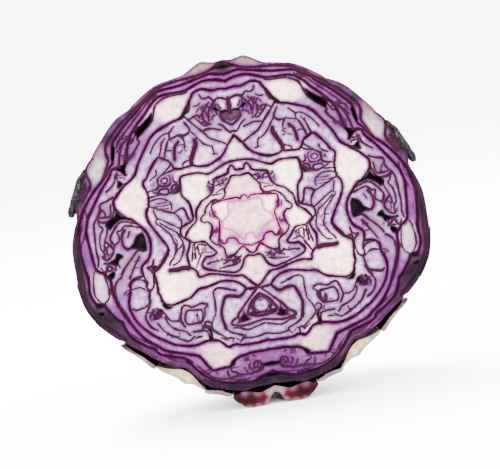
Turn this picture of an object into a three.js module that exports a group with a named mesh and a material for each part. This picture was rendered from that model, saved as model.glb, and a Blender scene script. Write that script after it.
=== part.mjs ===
// Half a red cabbage, cut across at its widest and stood on edge on its lowest outer leaf.
// Millimetres, +Z up. The cut face looks toward -Y and the stem points toward +Y.
import * as THREE from 'three';

// ---- sizes that set the part ----
const CUT_WIDTH = 161.6;      // across the cut face at its widest
const FOOT_DROP = 85.6;       // from the middle of the core down to the table
const DEPTH_RATIO = 1.0;      // depth of a leaf's dome for each millimetre of its radius
const DOME_POWER = 2.35;      // 2 is a round dome, more is a fuller one
const STEM_DROP = 0.12;       // how far the stem axis falls for each millimetre of depth
const STEM_RADIUS = 16;       // round stem where the outer leaves meet it
const STUB_LENGTH = 7;        // stem left standing behind the outermost leaves
const ROUND_DEPTH = 34;       // depth by which the core has become round
const LEAF_GAP = 0.36;        // clear space between one leaf and the next
const CORE_GAP = 0.6;         // clear space between the leaves and the core
const SIDE_GAP = 0.5;         // clear space between two leaves side by side
const THIN_EDGE = 0.8;        // thickness left where the first leaves run out on the core
const UNDER_REACH = 80.3;     // radius of the loose leaf under the head
const FOOT_STEPS = 2;         // depth steps of the low rib that stay flat on the table

const TURNS = 64;             // columns round the head
const DEEP = 4;               // steps from the cut face back to the core
const SCALE = CUT_WIDTH / 161.6;

// ---- where one leaf stops and the next begins, seen on the cut face ----
// Each outline is the right half, from straight up round to straight down. The left half mirrors it.
const CORE_EDGE = [
  [0, 10.7], [2, 9.2], [5, 9.8], [8.6, 9.2], [13.6, 8.2], [14.7, 5], [12.7, 1], [13.1, -3],
  [13.6, -7.2], [11.8, -9.4], [8.8, -8.8], [5.5, -10.4], [0, -12.2],
];
const FIRST_LEAF = [
  [0, 19.6], [3, 20], [5.6, 17.6], [8.2, 14.6], [10, 11.6], [14.6, 10.8], [18, 6.9], [20.7, 2.6],
  [17.8, 0.9], [16.5, -2], [18, -6.6], [14.4, -10.6], [12.7, -13.2], [11.2, -15.6], [8, -15.2],
  [4.5, -13.3], [1.5, -15], [0, -15.7],
];
const SECOND_LEAF = [
  [0, 22.4], [1.8, 22.8], [3.6, 24.6], [5.9, 21.8], [11.2, 20.2], [12.8, 17.5], [15, 13.6],
  [18.9, 11.4], [22, 7.4], [23, 2.6], [27.7, -2.1], [28.4, -4.4], [26, -6.4], [21.6, -7.8],
  [19.6, -10.6], [19.6, -13.8], [22.8, -18.2], [18, -21.2], [9.2, -23.2], [5.4, -20.8], [3, -17.8],
  [0, -17.8],
];
const THIRD_LEAF = [
  [0, 26.6], [7.4, 25.6], [12.7, 23.2], [18.6, 23.8], [25.4, 23.5], [27.3, 20], [27.2, 14.4],
  [24.8, 9.6], [25, 5], [27.9, 1.7], [31.4, -1.4], [31.3, -4.6], [29.6, -8.6], [29.5, -13],
  [29.2, -17.6], [26, -21.6], [22.1, -23], [16.2, -24.4], [7.1, -25.8], [3.9, -28], [0, -31.2],
];
const FOLDED_LEAF = [
  [0, 37.8], [3.4, 33.8], [8, 29.6], [13.3, 27.6], [20.6, 28.2], [27, 29.4], [35, 33], [38.5, 30],
  [42, 24.7], [43.3, 20.1], [42.7, 14.2], [44.3, 8.4], [41.5, 0.4], [37.6, -7.4], [40, -12.4],
  [44.8, -17], [45.1, -22], [44.8, -27], [42.4, -32.4], [37.7, -33.4], [31.2, -31.9], [27.7, -29.6],
  [20.4, -28.2], [13.3, -27.8], [8.3, -29.2], [3.6, -32.6], [0, -33.6],
];
const RING_LEAF = [
  [0, 58.9], [6.8, 59.2], [13.3, 60.2], [16.2, 57.6], [19.2, 53.2], [23, 48.8], [28.9, 47],
  [35.9, 43.8], [40.6, 37.9], [45.9, 28.7], [50.6, 24.6], [55.4, 22.6], [58.4, 16], [55.6, 10.4],
  [51.2, 7], [47.7, 3.7], [45.2, -1.9], [45.6, -7.8], [50.1, -13.7], [51.6, -18.4], [56, -20.4],
  [57.6, -24.4], [58.9, -29.6], [58, -35.5], [55.1, -40.8], [49.8, -46], [43.9, -49.7],
  [36.5, -52.7], [29.7, -52.8], [24.5, -52.6], [19.8, -54.5], [15.6, -55.8], [6.8, -56.7],
  [0, -55.9],
];
const RIM_LEAF = [
  [0, 62.6], [10.6, 63.8], [18.6, 61.6], [27, 60.4], [33, 57], [36, 52.5], [41.5, 47], [47.5, 39],
  [50.8, 33.8], [55.4, 31.4], [60.4, 25.5], [65.1, 19.5], [70.1, 12.5], [72.6, 3.9], [71.8, -4.9],
  [70.6, -12.5], [65.8, -18.2], [65.2, -23.8], [62.7, -32.6], [58.6, -40.8], [52.1, -48.5],
  [45, -53.9], [36.5, -56.5], [31.2, -58.9], [27.7, -64.5], [23.3, -65.9], [18.3, -65.2],
  [15.6, -62.6], [10.6, -61.3], [0, -60.2],
];
const OUTER_LEAF = [
  [0, 66], [9.8, 66.4], [20.9, 64], [28.9, 63.1], [34.8, 61], [40.6, 56.5], [47, 50.8], [53, 45.5],
  [57, 40], [59, 35], [63, 27.4], [69.8, 18.6], [75.4, 7.2], [76.8, -2], [75.3, -15.8],
  [75.4, -21.7], [72.8, -27.8], [68.6, -31.4], [63.3, -38.6], [58, -46.4], [50.9, -52],
  [45.9, -56.1], [38.8, -58.6], [33.9, -63.9], [27.4, -70.1], [21.5, -72.2], [10.6, -73.7],
  [4.5, -72], [0, -70.4],
];
const HEAD_EDGE = [
  [0, 72], [8.7, 72.2], [15, 70], [25, 67], [32.7, 64.8], [39, 61.2], [47.7, 55.4], [55, 50],
  [59.8, 44.3], [65, 37.9], [70, 31.4], [73.6, 25.5], [75.3, 20.6], [75.8, 14], [77.7, 7.2],
  [79.2, 2.5], [80.2, -1.9], [80.5, -10], [80.8, -18.5], [78.9, -28.5], [75.4, -35.5],
  [69.8, -42], [65, -46.4], [59.6, -50.6], [54.5, -54], [50.4, -57], [43, -61.6], [38.6, -63.6],
  [33.3, -68.6], [28.6, -72.6], [20.4, -75.6], [11.8, -77], [0, -75.8],
];

// ---- the outline as a radius for each column ----
function radiusAt(edge, angle) {
  const turn = Math.abs(Math.atan2(Math.sin(angle), Math.cos(angle)));
  const last = edge.length - 1;
  if (turn >= Math.PI - 1e-9) return -edge[last][1] * SCALE;
  let k = 1;
  while (k < last && Math.atan2(edge[k][0], edge[k][1]) < turn) k += 1;
  const [x0, z0] = edge[k - 1];
  const [x1, z1] = edge[k];
  const across = x0 * z1 - x1 * z0;
  const slope = Math.sin(turn) * (z1 - z0) - Math.cos(turn) * (x1 - x0);
  return SCALE * across / slope;
}

function coreRadius(angle, deep) {
  const blend = Math.min(1, deep / ROUND_DEPTH);
  const soft = blend * blend * (3 - 2 * blend);
  return radiusAt(CORE_EDGE, angle) * (1 - soft) + STEM_RADIUS * soft;
}

// ---- a point on the dome that a ring of this radius makes ----
function onDome(radius, turn) {
  const out = radius * Math.cos(turn) ** (2 / DOME_POWER);
  const deep = DEPTH_RATIO * radius * Math.sin(turn) ** (2 / DOME_POWER);
  return [out, deep];
}

function lastTurn(radius, angle, margin) {
  let low = 0;
  let high = Math.PI / 2;
  for (let k = 0; k < 30; k += 1) {
    const mid = (low + high) / 2;
    const [out, deep] = onDome(radius, mid);
    if (out > coreRadius(angle, deep) + margin) low = mid;
    else high = mid;
  }
  return low;
}

function place(out, deep, angle) {
  return [out * Math.sin(angle), deep, out * Math.cos(angle) - STEM_DROP * deep];
}

// ---- surfaces: each gives a point for a column and a depth step ----
function leafSurface(edge, offset, margin = CORE_GAP) {
  return (column, step) => {
    const angle = (2 * Math.PI * column) / TURNS;
    const radius = radiusAt(edge, angle) + offset;
    const turn = (lastTurn(radius, angle, margin) * step) / DEEP;
    const [out, deep] = onDome(radius, turn);
    return place(out, deep, angle);
  };
}

function coreSurface(edge, offset) {
  return (column, step) => {
    const angle = (2 * Math.PI * column) / TURNS;
    const radius = radiusAt(edge, angle) + offset;
    const turn = (lastTurn(radius, angle, CORE_GAP + THIN_EDGE) * step) / DEEP;
    const deep = onDome(radius, turn)[1];
    return place(coreRadius(angle, deep) + CORE_GAP, deep, angle);
  };
}

function middle(a, b, share) {
  return a.map((value, k) => value + (b[k] - value) * share);
}

// Every second column, with straight stretches between.
function coarse(surface) {
  return (column, step) => {
    if (column % 2 === 0) return surface(column, step);
    return middle(surface(column - 1, step), surface(column + 1, step), 0.5);
  };
}

// ---- closed bodies ----
function columnList(from, to, stride) {
  const list = [];
  for (let column = from; column <= to; column += stride) list.push(column);
  return list;
}

function readColumn(surface, columns, k, step) {
  const here = surface(columns[k], step);
  if (k > 0 && k < columns.length - 1) return here;
  const next = surface(columns[k === 0 ? 1 : k - 1], step);
  const wide = Math.hypot(next[0] - here[0], next[2] - here[2]);
  return middle(here, next, SIDE_GAP / 2 / Math.max(wide, SIDE_GAP));
}

function bodyBetween(inner, outer, from, to, stride = 1) {
  const columns = columnList(from, to, stride);
  const wide = columns.length;
  const points = [];
  for (const surface of [outer, inner]) {
    for (let k = 0; k < wide; k += 1) {
      for (let step = 0; step <= DEEP; step += 1) points.push(readColumn(surface, columns, k, step));
    }
  }
  const at = (side, k, step) => side * wide * (DEEP + 1) + k * (DEEP + 1) + step;
  const faces = [];
  const quad = (a, b, c, d) => faces.push([a, b, c], [a, c, d]);
  for (let k = 0; k < wide - 1; k += 1) {
    for (let step = 0; step < DEEP; step += 1) {
      quad(at(0, k, step), at(0, k, step + 1), at(0, k + 1, step + 1), at(0, k + 1, step));
      quad(at(1, k, step), at(1, k + 1, step), at(1, k + 1, step + 1), at(1, k, step + 1));
    }
    quad(at(0, k, 0), at(0, k + 1, 0), at(1, k + 1, 0), at(1, k, 0));
    quad(at(0, k, DEEP), at(1, k, DEEP), at(1, k + 1, DEEP), at(0, k + 1, DEEP));
  }
  for (let step = 0; step < DEEP; step += 1) {
    const end = wide - 1;
    quad(at(0, 0, step), at(1, 0, step), at(1, 0, step + 1), at(0, 0, step + 1));
    quad(at(0, end, step), at(0, end, step + 1), at(1, end, step + 1), at(1, end, step));
  }
  return solid(points, faces);
}

// A body whose sections are closed loops of the same count, capped at both ends.
function bodyOfLoops(loops) {
  const count = loops[0].length;
  const points = loops.flat();
  const faces = [];
  for (let row = 0; row < loops.length - 1; row += 1) {
    for (let k = 0; k < count; k += 1) {
      const a = row * count + k;
      const b = row * count + ((k + 1) % count);
      faces.push([a, a + count, b + count], [a, b + count, b]);
    }
  }
  for (const [row, flip] of [[0, false], [loops.length - 1, true]]) {
    const hub = points.length;
    const sum = loops[row].reduce((total, p) => total.map((value, k) => value + p[k]), [0, 0, 0]);
    points.push(sum.map((value) => value / count));
    for (let k = 0; k < count; k += 1) {
      const a = row * count + k;
      const b = row * count + ((k + 1) % count);
      faces.push(flip ? [hub, b, a] : [hub, a, b]);
    }
  }
  return solid(points, faces);
}

function signedVolume(points, faces) {
  let sum = 0;
  for (const [a, b, c] of faces) {
    const [p, q, r] = [points[a], points[b], points[c]];
    sum += p[0] * (q[1] * r[2] - q[2] * r[1]);
    sum += p[1] * (q[2] * r[0] - q[0] * r[2]);
    sum += p[2] * (q[0] * r[1] - q[1] * r[0]);
  }
  return sum / 6;
}

function solid(points, faces) {
  const outward = signedVolume(points, faces) > 0;
  const turned = outward ? faces : faces.map(([a, b, c]) => [a, c, b]);
  const geometry = new THREE.BufferGeometry();
  geometry.setAttribute('position', new THREE.Float32BufferAttribute(points.flat(), 3));
  geometry.setIndex(turned.flat());
  geometry.computeVertexNormals();
  return geometry;
}

// ---- colours ----
const COLOURS = {
  core_flesh: '#f6ebe6',
  pale_flesh: '#efe4ea',
  lavender_flesh: '#cdb2d4',
  purple_leaf: '#7d4f8c',
  outer_leaf: '#523a4f',
  cream_rib: '#e8dcc2',
  stem_cut: '#cfc3a0',
};

const group = new THREE.Group();
group.name = 'red_cabbage_half';

function add(name, slot, geometry) {
  const material = new THREE.MeshStandardMaterial({ color: COLOURS[slot], roughness: 0.6 });
  material.name = slot;
  const mesh = new THREE.Mesh(geometry, material);
  mesh.name = name;
  group.add(mesh);
}

// Leaves of one ring. A piece is a name, its slot and its first and last column.
function addRing(inner, outer, stride, pieces) {
  for (const [name, slot, from, to] of pieces) {
    add(name, slot, bodyBetween(inner, outer, from, to, stride));
  }
}

const half = LEAF_GAP / 2;
const TOP = 0;
const BOTTOM = TURNS / 2;

// The same piece on both sides: columns from..to on the right, mirrored on the left.
function pair(name, slot, from, to) {
  return [
    [`${name}_r`, slot, from, to],
    [`${name}_l`, slot, TURNS - to, TURNS - from],
  ];
}

// ---- the core and its stub ----
function coreLoop(deep, grow) {
  const loop = [];
  for (let column = 0; column < TURNS; column += 2) {
    const angle = (2 * Math.PI * column) / TURNS;
    loop.push(place(coreRadius(angle, deep) * grow, deep, angle));
  }
  return loop;
}

const stubStart = DEPTH_RATIO * CUT_WIDTH / 2;
const stubEnd = stubStart + STUB_LENGTH;
add('core', 'core_flesh', bodyOfLoops([
  coreLoop(0, 1), coreLoop(6, 1), coreLoop(12, 1), coreLoop(18, 1), coreLoop(26, 1),
  coreLoop(ROUND_DEPTH, 1),
  coreLoop(stubStart - LEAF_GAP, 1),
]));
add('stem_stub', 'stem_cut', bodyOfLoops([
  coreLoop(stubStart, 1), coreLoop(stubStart + 4, 1.05), coreLoop(stubEnd - 1.5, 1.1),
  coreLoop(stubEnd, 1.02),
]));

// ---- the leaves, from the core outward ----
const first = coarse(leafSurface(FIRST_LEAF, -half, CORE_GAP + THIN_EDGE));
addRing(coarse(coreSurface(FIRST_LEAF, -half)), first, 2, [
  ...pair('heart_leaf', 'pale_flesh', TOP, BOTTOM),
]);
addRing(coarse(leafSurface(FIRST_LEAF, half)), coarse(leafSurface(SECOND_LEAF, -half)), 2, [
  ...pair('star_leaf_upper', 'pale_flesh', TOP, 18),
  ...pair('star_leaf_lower', 'pale_flesh', 18, BOTTOM),
]);
addRing(coarse(leafSurface(SECOND_LEAF, half)), coarse(leafSurface(THIRD_LEAF, -half)), 2, [
  ...pair('inner_rib', 'pale_flesh', TOP, 18),
  ...pair('inner_leaf', 'pale_flesh', 18, BOTTOM),
]);
addRing(coarse(leafSurface(THIRD_LEAF, half)), leafSurface(FOLDED_LEAF, -half), 1, [
  ...pair('folded_leaf_upper', 'lavender_flesh', TOP, 17),
  ...pair('folded_leaf_lower', 'pale_flesh', 17, BOTTOM),
]);
addRing(leafSurface(FOLDED_LEAF, half), leafSurface(RING_LEAF, -half), 1, [
  ['top_fold', 'lavender_flesh', -5, 5],
  ...pair('ring_leaf_upper', 'pale_flesh', 5, 18),
  ...pair('ring_leaf_lower', 'pale_flesh', 18, BOTTOM),
]);
addRing(leafSurface(RING_LEAF, half), leafSurface(RIM_LEAF, -half), 1, [
  ['top_rib_leaf', 'pale_flesh', -8, 8],
  ...pair('side_leaf', 'lavender_flesh', 8, 21),
  ...pair('lower_leaf', 'pale_flesh', 21, BOTTOM),
]);
addRing(leafSurface(RIM_LEAF, half), leafSurface(OUTER_LEAF, -half), 1, [
  ...pair('rim_leaf_upper', 'purple_leaf', TOP, 12),
  ...pair('rim_leaf_side', 'purple_leaf', 12, 23),
  ...pair('rim_leaf_lower', 'purple_leaf', 23, BOTTOM),
]);
addRing(leafSurface(OUTER_LEAF, half), leafSurface(HEAD_EDGE, -half), 1, [
  ['top_wrapper', 'cream_rib', -9, 9],
  ...pair('side_wrapper', 'outer_leaf', 9, 23),
  ...pair('lower_wrapper', 'outer_leaf', 23, BOTTOM),
]);

// ---- the loose leaf under the head ----
const underTop = leafSurface(HEAD_EDGE, half);

function underSurface(column, step) {
  const [x, y, z] = underTop(column, step);
  const angle = (2 * Math.PI * column) / TURNS;
  const grow = UNDER_REACH * SCALE / radiusAt(HEAD_EDGE, angle);
  const rise = STEM_DROP * y;
  return [x * grow, y * (0.98 + 0.02 * grow) + 1.1 * step, (z + rise) * grow - rise];
}

addRing(underTop, underSurface, 1, [
  ...pair('under_leaf_edge', 'outer_leaf', 23, 24),
  ...pair('under_leaf_rib', 'cream_rib', 24, 28),
  ...pair('under_leaf_blade', 'outer_leaf', 28, 30),
]);

// The low rib: its underside is flat on the table for the first depth steps, with a notch in front.
const FOOT_SHAPE = [
  // column off the middle, width kept at the underside, height above the table on the cut face
  [0, 1, 5.8],
  [1, 1.06, 0],
  [2, 1.14, 2.6],
];

function footSurface(column, step) {
  const [x, y, z] = underTop(column, step);
  const [, spread, lift] = FOOT_SHAPE[Math.abs(column - BOTTOM)];
  const table = -FOOT_DROP * SCALE;
  const side = Math.abs(column - BOTTOM) === 2;
  if (step === 0) return [x * spread, y, table + lift];
  if (step <= FOOT_STEPS) return [x * spread, y, side ? table + 2.6 : table];
  const back = step - FOOT_STEPS;
  return [x * spread, y + 4 * back, z - 15 + 2 * back + (side ? 2 : 0)];
}

addRing(underTop, footSurface, 1, [['keel_rib', 'cream_rib', BOTTOM - 2, BOTTOM + 2]]);

// ---- the middle of the box on the Z axis, the foot on the table ----
const box = new THREE.Box3().setFromObject(group);
const shift = [-(box.min.x + box.max.x) / 2, -(box.min.y + box.max.y) / 2, -box.min.z];
for (const mesh of group.children) mesh.geometry.translate(...shift);

export default group;
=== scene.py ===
import math
from functools import partial

import bmesh
import bpy
import numpy as np
from mathutils import Matrix, Vector


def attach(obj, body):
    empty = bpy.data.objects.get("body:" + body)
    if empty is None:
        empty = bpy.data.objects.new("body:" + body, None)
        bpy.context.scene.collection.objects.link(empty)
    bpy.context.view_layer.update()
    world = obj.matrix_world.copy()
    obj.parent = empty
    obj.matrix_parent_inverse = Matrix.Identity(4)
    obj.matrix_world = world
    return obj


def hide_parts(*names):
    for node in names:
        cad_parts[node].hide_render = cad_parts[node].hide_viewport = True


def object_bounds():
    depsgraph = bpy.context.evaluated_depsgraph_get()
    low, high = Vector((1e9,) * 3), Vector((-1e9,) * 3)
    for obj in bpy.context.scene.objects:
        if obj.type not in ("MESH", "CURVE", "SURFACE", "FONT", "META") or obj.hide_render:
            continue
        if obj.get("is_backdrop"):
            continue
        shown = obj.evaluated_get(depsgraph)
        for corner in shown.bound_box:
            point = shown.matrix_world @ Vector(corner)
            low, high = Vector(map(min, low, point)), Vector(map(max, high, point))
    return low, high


# Half a red cabbage, cut across at its widest, standing on its lowest outer leaf.
# Metres in the scene. The outlines are in millimetres on the cut face: x to the right, z up, from
# the middle of the core. They are the right half, and the left half mirrors it.

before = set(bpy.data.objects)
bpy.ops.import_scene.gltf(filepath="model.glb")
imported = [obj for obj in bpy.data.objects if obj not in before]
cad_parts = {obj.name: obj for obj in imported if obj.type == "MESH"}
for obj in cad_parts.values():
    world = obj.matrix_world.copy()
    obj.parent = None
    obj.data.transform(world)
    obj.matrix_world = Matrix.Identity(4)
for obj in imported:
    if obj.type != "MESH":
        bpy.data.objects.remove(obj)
frameLow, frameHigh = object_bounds()
mm = 0.001

head = {
    "coreHeight": 85.6,     # mm, middle of the core above the table
    "grid": 0.42,           # mm between points on the cut face
    "gridWidth": 83.0,      # mm, out from the middle
    "gridHeight": (-88.0, 74.5),    # mm, lowest and highest
    "domePower": 2.35,      # 2 is round, more is fuller
    "stemDrop": 0.12,       # fall of the stem axis for each mm of depth
    "stemRadius": 16.0,     # mm
}
cutY = frameLow[1]          # the knife's plane
print("frame", [round(v, 4) for v in frameLow], [round(v, 4) for v in frameHigh])


def srgb(text):                                     # hex to linear
    parts = [int(text[k:k + 2], 16) / 255 for k in (1, 3, 5)]
    return [v / 12.92 if v <= 0.04045 else ((v + 0.055) / 1.055) ** 2.4 for v in parts] + [1.0]


def linear(text):                                   # the same as three numbers, for mixing
    return np.array(srgb(text)[:3])


# one closed line for each ring of leaves, from the core out
ringLines = {
    "core": [
        (0, 10.7), (0.9, 10.3), (1.8, 9.1), (3.9, 10.1), (11.2, 9.4), (14.2, 8.8), (15.1, 7.6), (14.9, 5),
        (13.9, 2.9), (12.7, 1.5), (12.7, -0.6), (13.9, -7.1), (13.6, -8.9), (12.4, -9.8), (10.9, -9.2),
        (10, -7.7), (7.1, -8), (5.9, -9.5), (5.1, -10.9), (0, -12.4)],
    "heart_leaf": [
        (0, 19.4), (2.4, 20), (4.2, 19.7), (5.6, 17.6), (8, 14.4), (8.1, 12.4), (9.2, 10.6), (10.9, 10),
        (14.2, 10.3), (17.7, 7.4), (18.6, 5), (20.1, 3.8), (20.8, 2.4), (19.8, 1.2), (17.6, 0.9),
        (16.2, -1.5), (17.4, -5.1), (18, -6.8), (16.2, -9.2), (12.7, -11.5), (12.1, -15.1), (10.4, -15.8),
        (8, -15.1), (4.5, -12.4), (3, -13), (1.5, -15.1), (0, -15.9)],
    "star_leaf": [
        (0, 22.4), (1.8, 22.4), (2.4, 23.8), (3.6, 24.6), (4.8, 23.2), (5.9, 21.2), (11.2, 20),
        (12.4, 19.4), (12.4, 17.6), (14.5, 13.2), (18.9, 10.9), (20.4, 9.1), (22.1, 7.1), (23, 2.4),
        (26.2, -0.3), (28.9, -3.9), (27.4, -5.6), (25.6, -7.1), (20.9, -7.4), (18.6, -10.1),
        (16.2, -13.3), (19.2, -14.5), (21.2, -14.5), (23.6, -18), (20.6, -20.4), (11.5, -23),
        (9.2, -23.4), (6.8, -22.4), (5.4, -20.6), (4.2, -18), (2.4, -16.8), (0, -17.1)],
    "inner_leaf": [
        (0, 26.5), (3.9, 26.2), (7.4, 25.3), (12.7, 22.8), (15.1, 22.5), (18.6, 23.7), (25.4, 23.5),
        (27, 22.4), (27.4, 19.4), (27.4, 14.7), (25.6, 12.4), (24.5, 10), (24, 4.1), (25.1, 2.5),
        (27.7, 1.5), (30.4, 0), (30.4, -3.3), (27.4, -6.5), (28.3, -9.8), (29.5, -12.4), (28.9, -17.7),
        (27.4, -18.9), (26.2, -20.6), (25.4, -22.9), (19.8, -22.4), (10.4, -24.8), (7.1, -25.1),
        (5.6, -25.8), (1.8, -29.8), (0, -31.2)],
    "folded_leaf": [
        (0, 37.8), (3.4, 33.8), (5.6, 30.6), (8, 28.7), (13.3, 26.3), (18.6, 26.6), (20.6, 27.4),
        (28, 26.9), (30.4, 30.6), (32.7, 32.1), (34.8, 33.2), (36.5, 32.4), (40.4, 27.4), (41.8, 24.9),
        (43.2, 23.9), (43.7, 22.1), (42.4, 17.5), (42.9, 12.5), (44.2, 10.4), (44.6, 7.8), (43.6, 4.2),
        (38.6, -4.8), (37.4, -7.4), (38, -9.8), (41.8, -14.5), (43, -15.6), (45.1, -14.9), (45.4, -17.9),
        (44.9, -24.4), (45.1, -26.7), (44.2, -28.8), (43.9, -30.8), (42.4, -32.6), (39.8, -33.5),
        (37.7, -33.1), (31.2, -31.5), (27.7, -28.9), (25.6, -28), (23.3, -28), (16.2, -26.4),
        (10.4, -27.3), (6.5, -30.1), (5.6, -31.5), (0, -31.9)],
    "ring_leaf": [
        (0, 58.8), (3.3, 59.4), (6.8, 59.2), (11.2, 60.5), (15.1, 59.4), (16.2, 57.6), (21.2, 50.5),
        (23, 48.8), (25.9, 48.2), (33.3, 45.4), (35.9, 43.8), (38.6, 40.8), (44.2, 32.5), (45.9, 28.7),
        (48, 26.1), (52.7, 22.8), (56.8, 18.9), (58.1, 17.2), (58.3, 15.1), (57.4, 12.8), (53.6, 8.6),
        (51.2, 7.5), (45.9, 1), (44.9, -4.9), (46.5, -10.5), (50.1, -13.7), (50.8, -16), (50.6, -18.3),
        (53.9, -18.8), (55.6, -19.6), (57.1, -21.4), (57.1, -23.8), (58.9, -29.6), (58, -35.5),
        (55.1, -40.8), (49.8, -46.1), (46.8, -48.2), (40.6, -51.8), (32.9, -53.3), (26.8, -52.1),
        (25.4, -52.4), (23.9, -52.3), (21.2, -53.1), (18.6, -55.8), (17.1, -56.4), (14.5, -55.6),
        (10.6, -56.6), (2.1, -56.4), (0, -55.9)],
    "rim_inside": [
        (0, 62.3), (3.9, 63.6), (10.6, 63.8), (18.6, 61), (27.4, 60.7), (31.8, 59.4), (35.6, 56.2),
        (37.4, 54), (43, 48.6), (46.4, 44), (48.2, 39.6), (49, 35.6), (50.9, 32.2), (53.9, 31.9),
        (56.8, 31.1), (58.3, 28.1), (62.4, 23.4), (70.1, 12.5), (71.8, 8.4), (72.6, 3.9), (71.5, -9.3),
        (70.6, -12.5), (68, -14.3), (66.8, -16.1), (65.4, -18.2), (65.2, -23.8), (62.7, -32.6),
        (55.6, -45.2), (48.8, -51.2), (45, -53.9), (33.2, -57.7), (31.2, -58.9), (27.7, -64.5),
        (26.2, -65.9), (20.9, -65.5), (18.3, -65.4), (17.1, -63.6), (13.3, -61.5), (10.6, -61.2),
        (7.7, -60.6), (1.5, -60.5), (0, -60.2)],
    "rim_leaf": [
        (0, 65.4), (6.2, 66.6), (9.8, 65.9), (20.9, 63.6), (28.9, 62.9), (31.8, 62.1), (37.7, 58.5),
        (40.6, 55.8), (46.6, 51), (53.4, 44.2), (54.6, 41.4), (55.6, 34.6), (57.4, 32.5), (60.4, 28.1),
        (66.8, 22.2), (72.4, 14.8), (75.4, 7.2), (76.8, -1.9), (75.9, -10.8), (75.1, -15.8),
        (75.6, -21.7), (74.8, -25.2), (73.3, -27.6), (70.1, -28.2), (69.2, -30.2), (65.4, -35.8),
        (63.3, -37.6), (62.7, -39.9), (60.1, -45.2), (54.5, -49.9), (50.9, -51.8), (49.4, -54.2),
        (45.9, -55.9), (38.8, -58), (37.1, -59.5), (33.9, -63.9), (29.8, -68.3), (24.5, -71.4),
        (18.6, -73.1), (10.6, -73.9), (8.3, -73.6), (0, -70.4)],
}
headEdge = [
    (0, 72), (4.2, 71.5), (8.7, 72.5), (11.5, 71.9), (17.4, 68.5), (20, 67.7), (30, 65.8), (36, 63),
    (43, 58.2), (44.8, 56.6), (52.7, 52.2), (62.4, 41.4), (65, 37.7), (67.4, 35.2), (73.6, 25.5),
    (75.1, 22), (75.5, 18), (75.9, 11.3), (77.7, 7.2), (80.2, -1.9), (80.4, -16), (80.8, -18.5),
    (78.9, -28.5), (75.4, -35.5), (72.4, -39.4), (66.8, -44.9), (64.6, -46), (61.5, -48.6), (54.5, -53.8),
    (51, -56.8), (43, -61.4), (40.4, -62), (38.6, -62.7), (37.1, -64.2), (31.2, -70.9), (26.8, -73.9),
    (14.5, -77.1), (9.8, -76.5), (3, -76.2), (0, -75.7)]

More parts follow.
